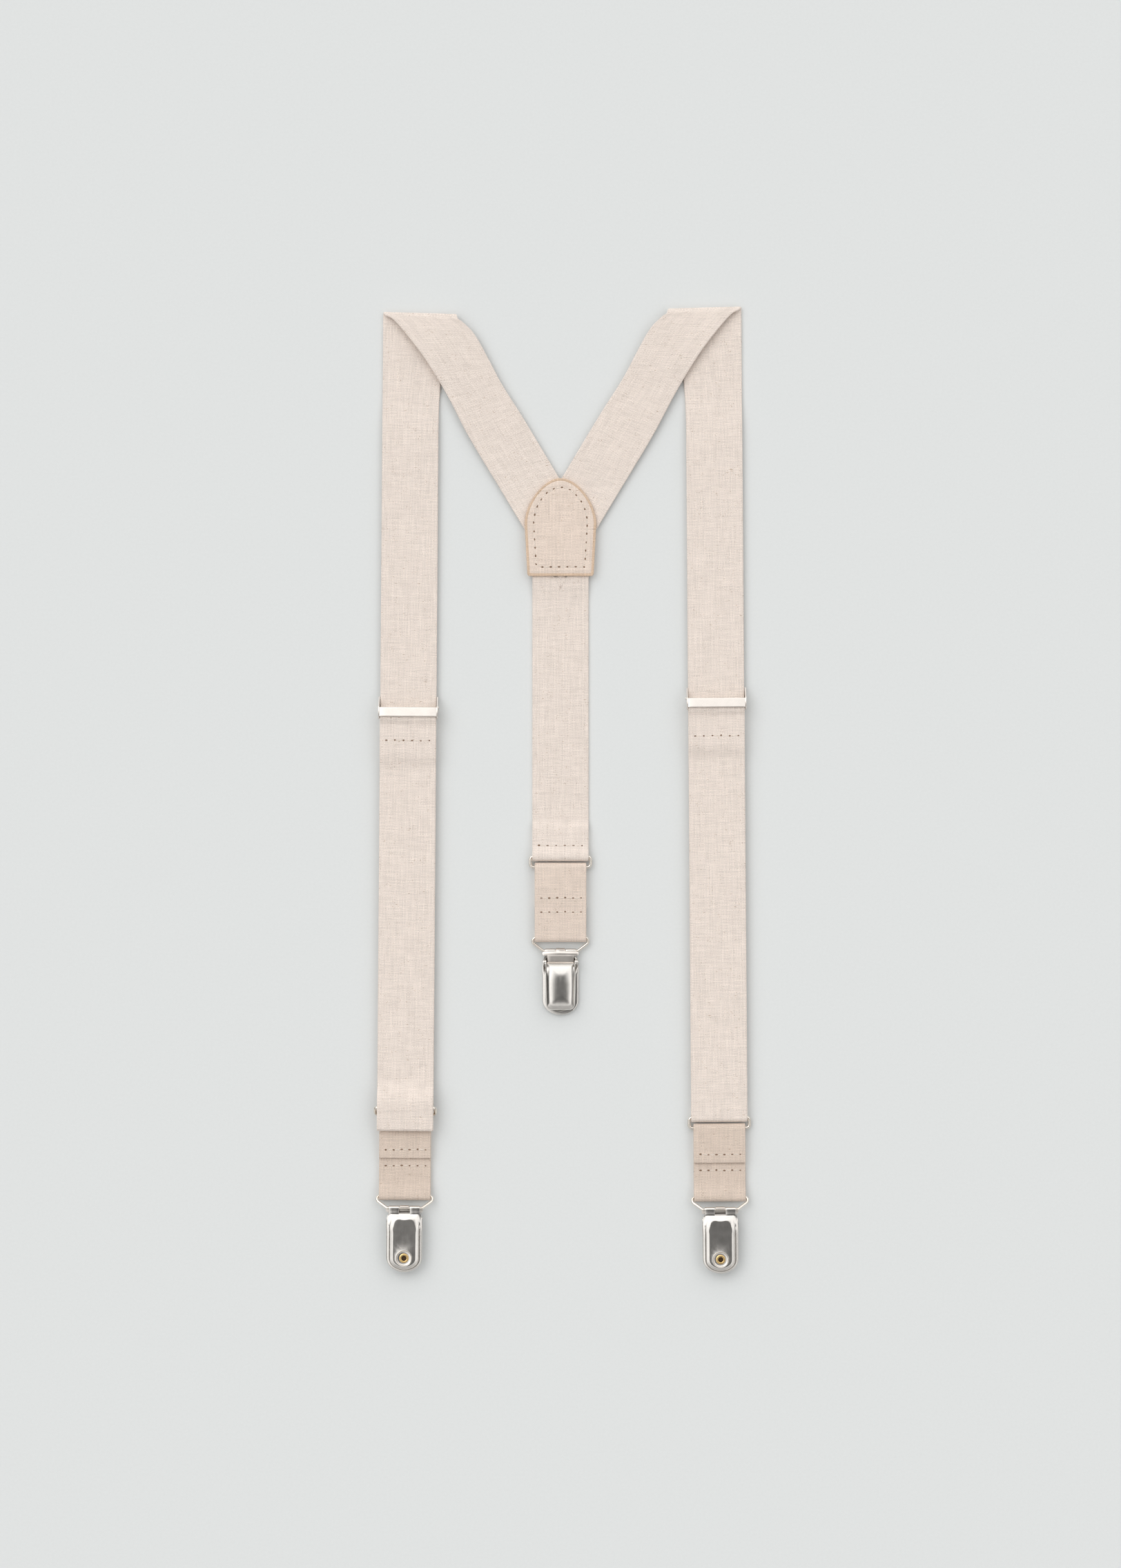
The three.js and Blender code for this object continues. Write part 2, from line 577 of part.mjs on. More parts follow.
function clipCover() {
  const [pivotY, pivotZ] = leverPivot;
  const [half, wall, crown] = [coverWidth / 2, 0.55, 1.3];
  const rim = 3.9;
  const top = pivotY - 0.1;
  const outline = (inset) => {
    const [h, foot] = [half - inset, top - coverLength + inset];
    const shape = new THREE.Shape();
    shape.moveTo(-h + 0.4, top);
    shape.quadraticCurveTo(-h - 0.1, top - coverLength / 2, -h + 0.5, foot + 2.4);
    shape.quadraticCurveTo(-h + 0.7, foot, -h + 3.2, foot);
    shape.lineTo(h - 3.2, foot);
    shape.quadraticCurveTo(h - 0.7, foot, h - 0.5, foot + 2.4);
    shape.quadraticCurveTo(h + 0.1, top - coverLength / 2, h - 0.4, top);
    return shape;
  };
  const block = (inset) => wrapped([outline(inset), rim - inset], [outline(inset), clipHeight - crown],
    [outline(inset + 0.4), clipHeight - 0.45 - inset], [outline(inset + 1.3), clipHeight - inset]);
  const outer = block(0);
  const inner = block(wall);
  const pivotEar = (x0, x1) => joined(rod(1.05, x0, x1, pivotY, pivotZ, 12),
    box(x0, x1, pivotY - 2.2, pivotY, pivotZ - 0.7, pivotZ + 1.05));
  const shell = cut(outer, inner);
  const stub = coverWidth / 2 + clothGap + sheet + 0.25;
  return joined(
    shell, pivotEar(-half, -half + wall), pivotEar(half - wall, half),
    rod(pinRadius, -stub, -half + wall / 2, pivotY, pivotZ, 12),
    rod(pinRadius, half - wall / 2, stub, pivotY, pivotZ, 12),
    rod(0.4, -half + wall / 2, half - wall / 2, pivotY - 1.0, pivotZ - 0.6),
  );
}

function gripPad() {
  const [half, foot, top] = [4.6, -clipLength + 3.6, -clipLength + 9.9];
  const eyeletY = -clipLength + eyeletFromFoot;
  const outline = new THREE.Shape();
  outline.moveTo(-half, top);
  outline.lineTo(-half, foot + 2.4);
  outline.quadraticCurveTo(-half + 0.6, foot, 0, foot);
  outline.quadraticCurveTo(half - 0.6, foot, half, foot + 2.4);
  outline.lineTo(half, top);
  const ribs = [0.4, 1.5].map((down) => box(-half, half, top - down, top - down + 0.5, 1.7, 2.0));
  const hole = new THREE.CylinderGeometry(1.95, 1.95, 3, 14).rotateX(pi / 2).translate(0, eyeletY, 1.8);
  return cut(joined(wrapped([outline, 1.2], [outline, 1.8]), ...ribs), hole);
}

function eyelet() {
  const [bore, barrel, flange, rolled] = [1.15, 1.5, 2.05, 1.8];
  const profile = [[bore, 0.02], [flange, 0.02], [flange, 0.36], [barrel, 0.36], [barrel, 1.24],
    [rolled, 1.24], [rolled, 1.7], [bore, 1.7], [bore, 0.02]].map(([r, z]) => new THREE.Vector2(r, z));
  return new THREE.LatheGeometry(profile, 14).rotateX(pi / 2).translate(0, -clipLength + eyeletFromFoot, 0);
}

// a clip at rest, closed. flipped lies with its cover on the table
function clip(prefix, y, flipped) {
  const group = new THREE.Group();
  group.add(
    mesh(`${prefix}_clip_base`, clipBase(), nickel),
    mesh(`${prefix}_clip_jaw`, clipJaw(), nickel),
    mesh(`${prefix}_clip_cover`, clipCover(), nickel),
    mesh(`${prefix}_grip_pad`, gripPad(), plastic),
    mesh(`${prefix}_eyelet`, eyelet(), brass),
  );
  group.position.set(0, y, flipped ? clipHeight : 0);
  group.rotation.y = flipped ? pi : 0;
  return group;
}

// everything that hangs from a ring
function hanger(prefix, { ringY, ringTilt, ringZ, lowerBarY, tabFoot, seam, flipped }) {
  const bailY = tabFoot + bailFoldRadius + halfWebbing;
  const knuckleZ = flipped ? clipHeight - knuckleLevel : knuckleLevel;
  const rise = knuckleZ - bailLevel;
  const run = Math.sqrt(bailLength ** 2 - rise ** 2);
  return [
    ring(`${prefix}_ring`, ringY, ringZ, ringTilt),
    tab(`${prefix}_tab`, lowerBarY, tabFoot, seam, flipped ? 1 : -1),
    bail(`${prefix}_bail`, bailY, bailLevel, rise),
    clip(prefix, bailY - run, flipped),
  ];
}

// ---- the whole pair --------------------------------------------------------

const suspenders = new THREE.Group();
suspenders.add(backStrap(), ...patches());

const backLeg = new THREE.Group();
backLeg.position.x = backX;
backLeg.add(...hanger('back', {
  ringY: backRingY, ringTilt: 0, ringZ: ringLevel, lowerBarY: backRingY - ringBars / 2,
  tabFoot: -67.3, seam: -52, flipped: false,
}));
suspenders.add(backLeg);

for (const leg of ['left', 'right']) {
  const side = sideOf[leg];
  const frame = new THREE.Group();
  const { middle, lower } = ringBarsAt(legs[leg]);
  frame.position.x = side * legSpacing / 2;
  frame.rotation.z = side * legSplay * deg;
  frame.add(...legWebbing(leg), adjuster(leg), ...hanger(leg, {
    ...legs[leg], ringZ: middle, lowerBarY: lower[0], flipped: true,
  }));
  suspenders.add(shoulderStrap(leg), frame);
}

export default suspenders;
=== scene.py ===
# Y-back clip suspenders laid out flat on a pale table: linen webbing, a stitched back
# patch, two toothed adjusters, and three nickel clips hung from wire rings on fabric tabs.
import json
import math
import random
from bisect import bisect_right

import bmesh
import bpy
from mathutils import Euler, Matrix, Vector
from mathutils.geometry import interpolate_bezier


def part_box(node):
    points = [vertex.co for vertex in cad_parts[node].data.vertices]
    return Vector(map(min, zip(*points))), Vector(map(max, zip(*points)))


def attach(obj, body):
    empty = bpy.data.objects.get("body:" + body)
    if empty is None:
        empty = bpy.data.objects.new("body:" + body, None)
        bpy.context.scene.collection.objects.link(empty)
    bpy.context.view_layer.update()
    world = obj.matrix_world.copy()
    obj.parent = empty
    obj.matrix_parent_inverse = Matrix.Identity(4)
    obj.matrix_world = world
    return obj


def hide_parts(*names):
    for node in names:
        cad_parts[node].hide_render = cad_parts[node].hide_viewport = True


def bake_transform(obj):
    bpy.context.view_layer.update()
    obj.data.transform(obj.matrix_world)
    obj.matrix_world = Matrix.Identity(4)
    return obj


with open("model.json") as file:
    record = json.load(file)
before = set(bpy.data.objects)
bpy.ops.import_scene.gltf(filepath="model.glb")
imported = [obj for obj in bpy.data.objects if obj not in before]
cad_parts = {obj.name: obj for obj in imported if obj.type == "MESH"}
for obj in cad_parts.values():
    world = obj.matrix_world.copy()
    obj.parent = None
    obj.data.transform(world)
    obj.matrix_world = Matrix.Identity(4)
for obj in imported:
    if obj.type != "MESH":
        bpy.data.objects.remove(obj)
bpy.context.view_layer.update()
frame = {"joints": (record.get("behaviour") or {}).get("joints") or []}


# ---- The table, the light and the camera -------------------------------------------
# A seamless pale table seen straight from above, under an even, soft studio sky with one
# large light to the left, so that shadows are faint and fall to the right.

view_height = 0.693
view_distance = 1.6
view_centre = Vector((-0.0008, 0.0025, 0.0))


def fill(tree, target, inputs):
    """Sets a node's inputs by name or number, to values or to other nodes' outputs."""
    for key, value in inputs.items():
        if isinstance(value, bpy.types.NodeSocket):
            tree.links.new(value, target.inputs[key])
        else:
            target.inputs[key].default_value = value


def node(tree, kind, inputs=None, **settings):
    made = tree.nodes.new(kind)
    for key, value in settings.items():
        setattr(made, key, value)
    fill(tree, made, inputs or {})
    return made


def math_node(tree, operation, a, b=0.0, c=0.0):
    return node(tree, "ShaderNodeMath", {0: a, 1: b, 2: c}, operation=operation).outputs[0]


def plus(tree, a, b):
    return math_node(tree, "ADD", a, b)


def times(tree, a, b):
    return math_node(tree, "MULTIPLY", a, b)


def ramp_node(tree, value, *stops):
    made = node(tree, "ShaderNodeValToRGB", {"Fac": value})
    marks = made.color_ramp.elements
    while len(marks) < len(stops):
        marks.new(0.5)
    for mark, (place, colour) in zip(marks, stops):
        mark.position = place
        mark.color = (*colour, 1.0) if hasattr(colour, "__len__") else (colour, colour, colour, 1.0)
    return made.outputs["Color"]


def noise_node(tree, place, scale, detail):
    made = node(tree, "ShaderNodeTexNoise", {"Vector": place, "Scale": scale, "Detail": detail})
    return made.outputs["Fac"]


def new_material(name):
    made = bpy.data.materials.new(name)
    made.use_nodes = True
    return made, made.node_tree, made.node_tree.nodes["Principled BSDF"]


def emboss(tree, shader, height, relief, strength):
    """Gives a shader a relief of this many metres."""
    bump = node(tree, "ShaderNodeBump", {"Height": height, "Distance": relief, "Strength": strength})
    fill(tree, shader, {"Normal": bump.outputs[0]})


def speckled(name, scale, detail, dark, pale, rough, settings, relief=0.0, strength=1.0):
    """A plain material with a fine grain between two tones, and any relief of that grain."""
    made, tree, shader = new_material(name)
    here = node(tree, "ShaderNodeTexCoord").outputs["Object"]
    grain = noise_node(tree, here, scale, detail)
    fill(tree, shader, {"Base Color": ramp_node(tree, grain, dark, pale), "Roughness": rough, **settings})
    if relief:
        emboss(tree, shader, grain, relief, strength)
    return made


bpy.context.scene.view_settings.view_transform = "Standard"

camera = bpy.data.objects.new("camera", bpy.data.cameras.new("camera"))
bpy.context.collection.objects.link(camera)
camera.location = view_centre + Vector((0, 0, view_distance))
camera.data.sensor_width = 36
camera.data.lens = camera.data.sensor_width * view_distance / view_height
camera.data.clip_end = 10
bpy.context.scene.camera = camera

bm = bmesh.new()
bmesh.ops.create_grid(bm, x_segments=8, y_segments=8, size=4)
table_mesh = bpy.data.meshes.new("table")
bm.to_mesh(table_mesh)
bm.free()
table = bpy.data.objects.new("table", table_mesh)
bpy.context.collection.objects.link(table)
table_mesh.materials.append(speckled("pale table", 900.0, 2.0, (0.3, (0.748, 0.764, 0.757)),
                                     (0.7, (0.763, 0.779, 0.772)), 0.9, {"Specular IOR Level": 0.2}))

# the sky: dark close round the camera's boom and bright all round that, brightest beyond the
# shoulders, with a dark doorway low on the left and a dimmer wall on the right
world = bpy.data.worlds.new("studio")
bpy.context.scene.world = world
world.use_nodes = True
tree = world.node_tree
view = node(tree, "ShaderNodeTexCoord").outputs["Generated"]
way = node(tree, "ShaderNodeSeparateXYZ", {0: view})
off_zenith = math_node(tree, "DIVIDE", math_node(tree, "ARCCOSINE", way.outputs["Z"]), math.pi / 2)
boom = Vector((0.13, -0.15, 1.0)).normalized()
near_boom = node(tree, "ShaderNodeVectorMath", {0: view, 1: boom}, operation="DOT_PRODUCT").outputs["Value"]
under_boom = ramp_node(tree, near_boom, (0.0, 1.0), (0.90, 1.0), (0.962, 0.14), (1.0, 0.10))
sky = times(tree, under_boom, ramp_node(tree, off_zenith, (0.55, 1.0), (1.0, 0.62)))
leftward = times(tree, way.outputs["X"], -1.0)
left = ramp_node(tree, leftward, (0.0, 1.0), (0.80, 1.0), (0.92, 0.06))
right = ramp_node(tree, way.outputs["X"], (0.0, 1.0), (0.72, 1.0), (0.95, 0.32))
ahead = ramp_node(tree, math_node(tree, "MULTIPLY_ADD", way.outputs["Y"], 0.5, 0.5), (0.12, 0.5), (0.4, 0.94),
                  (0.62, 1.0), (0.9, 1.16))
for part in (left, right, ahead):
    sky = times(tree, sky, part)
fill(tree, tree.nodes["Background"], {"Color": sky, "Strength": 1.25})

light = bpy.data.lights.new("large light", "SUN")
light.energy = 0.455
light.angle = math.radians(40)
light_object = bpy.data.objects.new("large light", light)
light_object.rotation_euler = Euler((math.radians(-26), math.radians(-34), 0))
bpy.context.collection.objects.link(light_object)


# ---- Where the straps and legs lie -------------------------------------------------
# Each leg has its own frame in millimetres: x across the strap, y along it, z up from
# the table. It is read from the hinge that the leg's tab swings on.

joints = {j["name"]: j for j in frame["joints"]}
side_of = {"left": -1, "right": 1, "back": 1}
up = Vector((0, 0, 1))
world_mm = Matrix.Scale(0.001, 4)


def leg_space(leg):
    hinge = joints[f"{leg}_tab_swing"]
    across = Vector(hinge["axis"])
    along = up.cross(across)
    pivot = Vector(hinge["pos_m"])
    origin = pivot - along * (pivot.y / along.y)
    turn = Matrix((across, along, up)).transposed().to_4x4()
    return Matrix.Translation((origin.x, 0, 0)) @ turn @ world_mm


space = {leg: leg_space(leg) for leg in side_of}


def place_of(leg, joint):
    """(y, z) of a leg's joint in the leg's frame, in millimetres."""
    there = space[leg].inverted() @ Vector(joints[f"{leg}_{joint}"]["pos_m"])
    return there.y, there.z


def face_outwards(bm):
    """Turns the faces of each closed shell outwards."""
    bmesh.ops.recalc_face_normals(bm, faces=bm.faces)
    waiting = set(bm.faces)
    while waiting:
        shell, edge = set(), {waiting.pop()}
        while edge:
            shell |= edge
            edge = {g for f in edge for e in f.edges for g in e.link_faces} - shell
        waiting -= shell
        if sum(f.calc_area() * f.normal.dot(f.calc_center_median()) for f in shell) < 0:
            bmesh.ops.reverse_faces(bm, faces=list(shell))


cloth_sharp = 40


def piece_from(bm, name, matrix, *looks, sharp=cloth_sharp):
    face_outwards(bm)
    bmesh.ops.transform(bm, matrix=matrix, verts=bm.verts)
    mesh = bpy.data.meshes.new(name)
    bm.to_mesh(mesh)
    bm.free()
    mesh.shade_smooth()
    mesh.set_sharp_from_angle(angle=math.radians(sharp))
    for look in looks:
        mesh.materials.append(look)
    made = bpy.data.objects.new(name, mesh)
    bpy.context.collection.objects.link(made)
    return made


def hung_piece(bm, name, matrix, body, cad_node, *looks, slot="nickel", sharp=35):
    """A piece that stands for a CAD node and moves with one body."""
    piece = piece_from(bm, name, matrix, *looks, sharp=sharp)
    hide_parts(cad_node)
    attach(piece, body)
    return piece


# ---- Linen webbing -----------------------------------------------------------------
# Elastic webbing woven in natural linen and cotton: a plain weave with tan and brown
# flecks, thick and thin weft, and a fine rib near each selvedge.

strap_width = 24.8
strap_sides = (-strap_width / 2, strap_width / 2)
strap_thick = 1.2
strap_edge = 0.42
cloth_gap = 0.2


def new_group(name, inputs, outputs):
    """A node group. Its inputs have defaults, or None for a vector."""
    group = bpy.data.node_groups.new(name, "ShaderNodeTree")
    for key, value in inputs.items():
        kind = "NodeSocketVector" if value is None else "NodeSocketFloat"
        socket = group.interface.new_socket(key, in_out="INPUT", socket_type=kind)
        if value is not None:
            socket.default_value = value
    for key in outputs:
        group.interface.new_socket(key, in_out="OUTPUT", socket_type="NodeSocketFloat")
    given, out = group.nodes.new("NodeGroupInput"), group.nodes.new("NodeGroupOutput")
    return group, given.outputs, out.inputs


def weave_group():
    group, given, out = new_group("plain weave", {"Cloth": None, "Thread": 0.55, "Slub": 1.0, "Fleck": 1.0},
                                  ("Shade", "Flecks", "Height"))
    cloth = node(group, "ShaderNodeSeparateXYZ", {0: given["Cloth"]})

    def waves(along):
        count = math_node(group, "DIVIDE", along, given["Thread"])
        return count, math_node(group, "SINE", times(group, count, math.pi))

    def noise(x, y, scale, detail=2.0):
        at = node(group, "ShaderNodeCombineXYZ", {0: x, 1: y})
        return noise_node(group, at.outputs[0], scale, detail)

    across, along = cloth.outputs["X"], cloth.outputs["Y"]

    def stretched(by_across, by_along, scale, detail=2.0):
        return noise(times(group, across, by_across), times(group, along, by_along), scale, detail)

    # hand-spun thread wanders a little, so that the weave is never a perfect grid
    drift = math_node(group, "MULTIPLY_ADD", noise(across, along, 0.45), 0.9, -0.45)
    warp_count, warp = waves(plus(group, across, times(group, drift, 0.35)))
    weft_count, weft = waves(plus(group, along, drift))
    both = times(group, warp, weft)
    lump = math_node(group, "POWER", math_node(group, "ABSOLUTE", both), 0.6)
    over = math_node(group, "MULTIPLY_ADD", math_node(group, "SIGN", both), 0.5, 0.5)

    def thread_tone(count, other):
        cell = node(group, "ShaderNodeCombineXYZ", {0: math_node(group, "FLOOR", count),
                                                    1: times(group, other, 0.05)})
        return noise_node(group, cell.outputs[0], 1.7, 1.0)

    warp_tone = thread_tone(warp_count, along)
    weft_tone = thread_tone(weft_count, across)
    tone = node(group, "ShaderNodeMix", {"Factor": over, 2: weft_tone, 3: warp_tone}).outputs[0]
    slub = stretched(0.22, 2.4, 0.9)
    streak = stretched(2.2, 0.12, 0.9)
    mottle = noise(across, along, 0.16, 3.0)

    def swing(value, amount, middle=0.5):
        return times(group, math_node(group, "SUBTRACT", value, middle), amount)

    # the lump term makes the thread crowns lighter and the gaps between threads darker: painted shade between
    # the threads, beside the threads' own random tones
    shade = plus(group, swing(tone, 0.40), swing(lump, 0.40, 0.62))
    shade = plus(group, shade, swing(mottle, 0.07))
    thick_thin = plus(group, swing(slub, 0.22), swing(streak, 0.16))
    shade = plus(group, shade, times(group, thick_thin, given["Slub"]))
    group.links.new(plus(group, shade, 1.0), out["Shade"])

    # flecks of bark and dark fibre: short dashes, some along the strap and some across it
    dash_across = stretched(0.55, 2.2, 1.1, 1.0)
    dash_along = stretched(2.0, 0.8, 1.3, 1.0)
    where = noise(across, along, 0.21, 2.0)
    level = math_node(group, "MAXIMUM", dash_across, dash_along)
    level = plus(group, level, swing(where, 0.30))
    flecks = node(group, "ShaderNodeMapRange", {0: level, 1: 0.70, 2: 0.79, 3: 0.0, 4: 1.0},
                  interpolation_type="SMOOTHSTEP").outputs[0]
    group.links.new(times(group, flecks, given["Fleck"]), out["Flecks"])
    height = plus(group, lump, times(group, thick_thin, 2.2))
    group.links.new(plus(group, height, times(group, flecks, 0.5)), out["Height"])
    return group


plain_weave = weave_group()


def linen(name, colour, fleck_colour, thread=0.55, slub=1.0, fleck=0.75, relief=0.06, fuzz=0.12):
    made, tree, shader = new_material(name)
    cloth = node(tree, "ShaderNodeUVMap", uv_map="cloth").outputs["UV"]
    weave = node(tree, "ShaderNodeGroup", node_tree=plain_weave)
    fill(tree, weave, {"Cloth": cloth, "Thread": thread, "Slub": slub, "Fleck": fleck})
    dyed = node(tree, "ShaderNodeMix", {"Factor": weave.outputs["Flecks"], 6: (*colour, 1),
                                        7: (*fleck_colour, 1)}, data_type="RGBA").outputs[2]
    # the weave's Shade output holds painted shade between the threads as well as the cloth's own tones
    lit = node(tree, "ShaderNodeVectorMath", {0: dyed, "Scale": weave.outputs["Shade"]}, operation="SCALE")
    fill(tree, shader, {"Base Color": lit.outputs[0], "Roughness": 0.93, "Specular IOR Level": 0.25,
                        "Sheen Weight": fuzz, "Sheen Roughness": 0.6})
    emboss(tree, shader, weave.outputs["Height"], relief / 1000, 0.85)
    return made


strap_linen = linen("strap linen", (0.850, 0.748, 0.672), (0.42, 0.28, 0.17))


def lay(bm, left, right, thick, edge, columns=24, groove=None, cut_from=0.0):
    """A flat band with rounded edges, bent so that it runs between two edge lines. Its
    cloth map is in millimetres across and along the roll, from where it is cut."""
    middles = [(a + b) / 2 for a, b in zip(left, right)]
    runs = [0.0]
    for a, b in zip(middles, middles[1:]):
        runs.append(runs[-1] + (b - a).length)
    rows = len(middles) - 1
    width = (right[0] - left[0]).length
    before = set(bm.verts)
    flat = bmesh.ops.create_grid(bm, x_segments=columns, y_segments=rows, size=0.5)["verts"]
    for v in flat:
        v.co = Vector((v.co.x * width, runs[round((v.co.y + 0.5) * rows)], -thick / 2))
    cloth = bm.loops.layers.uv.get("cloth") or bm.loops.layers.uv.new("cloth")
    faces = list({f for v in flat for f in v.link_faces})
    rim = [e for e in {e for v in flat for e in v.link_edges} if len(e.link_faces) == 1]
    lifted = bmesh.ops.extrude_face_region(bm, geom=faces)["geom"]
    top = [g for g in lifted if isinstance(g, bmesh.types.BMVert)]
    bmesh.ops.translate(bm, vec=(0, 0, thick), verts=top)
    new = [v for v in bm.verts if v not in before]
    new_faces = list({f for v in new for f in v.link_faces})
    bmesh.ops.recalc_face_normals(bm, faces=new_faces)
    for face in new_faces:
        for loop in face.loops:
            loop[cloth].uv = (loop.vert.co.x, loop.vert.co.y + cut_from)
    top_rim = [e for e in {e for v in top for e in v.link_edges}
               if any(abs(f.normal.z) < 0.5 for f in e.link_faces) and e.other_vert(e.verts[0]) in set(top)
               and e.verts[0] in set(top)]
    bmesh.ops.bevel(bm, geom=rim + top_rim, offset=edge, segments=3, profile=0.5, affect="EDGES",
                    material=-1)
    new = [v for v in bm.verts if v not in before]
    for v in new:
        x, s, h = v.co
        if groove and abs(abs(x) - groove[0]) < groove[1]:
            h -= math.copysign(groove[2], h)
        row = min(max(bisect_right(runs, s) - 1, 0), rows - 1)
        t = (s - runs[row]) / (runs[row + 1] - runs[row])
        a, b = left[row].lerp(left[row + 1], t), right[row].lerp(right[row + 1], t)
        i, j = max(row - 1, 0), min(row + 2, rows)
        ahead = (middles[row + 1] - middles[i]).lerp(middles[j] - middles[row], t)
        out = (b - a).cross(ahead).normalized()
        v.co = a.lerp(b, x / width + 0.5) + out * h
    return runs[-1]


def slope(y0, z0, y1, z1, steps=8):
    """(y, z) points of an easy slope between two levels."""
    points = []
    for i in range(steps + 1):
        t = i / steps
        points.append((y0 + (y1 - y0) * t, z0 + (z1 - z0) * t * t * (3 - 2 * t)))
    return points


def arc(y, z, radius, start, end, steps=12):
    """(y, z) points round a centre, from one angle to another in degrees."""
    turns = [math.radians(start + (end - start) * i / steps) for i in range(steps + 1)]
    return [(y + radius * math.cos(a), z + radius * math.sin(a)) for a in turns]


def run(y0, y1, z, step=3.0):
    """(y, z) points of a level run."""
    steps = max(1, round(abs(y1 - y0) / step))
    return [(y0 + (y1 - y0) * i / steps, z) for i in range(steps + 1)]


def without_repeats(path, least=0.02):
    kept = path[:1]
    for point in path[1:]:
        if math.dist(point, kept[-1]) > least:
            kept.append(point)
    return kept


def spanning(path, x0, x1):
    """A (y, z) path's two edge lines, at x0 and x1."""
    return [Vector((x0, y, z)) for y, z in path], [Vector((x1, y, z)) for y, z in path]


selvedge = (0.75 * strap_width / 2, 0.4, 0.07)


# ---- The two front straps ----------------------------------------------------------
# One length of webbing each. It leaves the patch, folds over at the shoulder with the
# diagonal on top, runs down through the adjuster and round the ring, and comes back up
# over itself to be sewn round the adjuster's bar.

strap_level = 1000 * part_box("left_front_strap")[0].z + strap_thick / 2
return_level = strap_level + strap_thick + cloth_gap
shoulder_foot = 1000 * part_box("left_front_strap")[1].y
crossing = Vector((1000 * (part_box("back_strap")[0].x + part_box("back_strap")[1].x) / 2, 112.5, 0))
lean = math.radians(31)
patch_level = 1.8
ring_wire = 1.4
fold_radius = ring_wire / 2 + strap_thick / 2 + 0.1


def smooth_line(points, steps=8):
    """The points of a smooth line through the given ones."""
    line = []
    for i, (here, there) in enumerate(zip(points, points[1:])):
        before = points[max(i - 1, 0)]
        after = points[min(i + 2, len(points) - 1)]
        reach = (there - here).length / 3
        out = here + (there - before).normalized() * reach
        back = there - (after - here).normalized() * reach
        line += interpolate_bezier(here, out, back, there, steps + 1)[:-1]
    return line + [points[-1]]


def shoulder_edges(leg):
    """The outer and inner edges of a strap from the patch, over the fold, down to its foot."""
    side = side_of[leg]
    half = strap_width / 2
    top = 1000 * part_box(f"{leg}_shoulder_strap")[1].y
    rise = top - shoulder_foot
    table = strap_thick / 2 + 0.28
    to_mm = world_mm.inverted() @ space[leg]

    def at(out, down, z):
        return to_mm @ Vector((side * out, top - down, z))

    def along(edge, y, z):
        foot = crossing + Vector((side * math.cos(lean), -math.sin(lean), 0)) * edge * half
        return Vector((foot.x + side * math.tan(lean) * (y - foot.y), y, z))

    middle = crossing.y
    outer = [
        along(1, middle - 34, patch_level), along(1, middle - 14, patch_level),
        along(1, middle + 20, patch_level), along(1, middle + 44, 2.3),
        at(-16.6, 37.6, 2.9), at(-6.7, 21.6, 4.1), at(2.1, 10.1, 4.2), at(8.2, 3.4, 3.3),
        at(half - 0.9, 1.7, 2.6), at(half - 0.1, 0.7, 1.6), at(half, 1.6, table), at(half, 12, table),
        at(half, rise - 24, table), at(half, rise - 12, strap_level - 0.3), at(half, rise, strap_level),
    ]
    inner = [
        along(-1, middle - 24, patch_level), along(-1, middle - 4, patch_level),
        along(-1, middle + 26, patch_level), along(-1, middle + 52, 2.3),
        at(-half - 27.5, 31.2, 2.4), at(-half - 21.8, 20.6, 2.6), at(-half - 15.4, 9.6, 3.0),
        at(-half - 10, 4.2, 3.2), at(-half - 8.4, 3.3, 3.2), at(-half - 7.4, 1.4, 2.0),
        at(-half - 6.6, 3.6, table), at(-half - 3, 13, table), at(-half - 0.4, rise - 24, table),
        at(-half, rise - 12, strap_level - 0.3), at(-half, rise, strap_level),
    ]
    return smooth_line(outer), smooth_line(inner)


def bight_path(leg):
    """The strap's path from its straight run, round the ring's upper bar, and back up to
    the return level. The left one is slack: it droops through the ring and over the tab."""
    bar_y, bar_z = place_of(leg, "ring_swing")
    low_y, low_z = place_of(leg, "tab_swing")
    start = bar_y + 13
    if leg == "right":
        down = run(start, start - 3, strap_level)
        down += slope(start - 3, strap_level, bar_y + 1.5, bar_z - fold_radius)
        round_bar = arc(bar_y, bar_z, fold_radius, 270, 90, 16)
        back = slope(bar_y + 1.5, bar_z + fold_radius, start - 3, return_level, 6) + [(start, return_level)]
        return without_repeats(down + round_bar[:9]), without_repeats(round_bar[8:] + back)
    over = low_z + fold_radius + strap_thick + 2 * cloth_gap
    turn = strap_thick / 2 + 0.15
    foot = 1000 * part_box("left_ring_bight")[0].y + strap_thick / 2 + turn
    down = run(start, start - 4, strap_level)
    down += slope(start - 4, strap_level, bar_y, bar_z - fold_radius - cloth_gap, 6)
    down += slope(bar_y - 1.2, bar_z - fold_radius + 0.15, low_y - 0.4, over, 5)
    bend = arc(foot, over + turn, turn, 270, 90, 16)
    back = slope(low_y + 0.5, over + 2 * turn, bar_y, bar_z + fold_radius + 0.1, 6)
    back += slope(bar_y + 2, bar_z + fold_radius, start - 1, return_level, 8) + [(start, return_level)]
    return without_repeats(down + bend[:9]), without_repeats(bend[8:] + back)


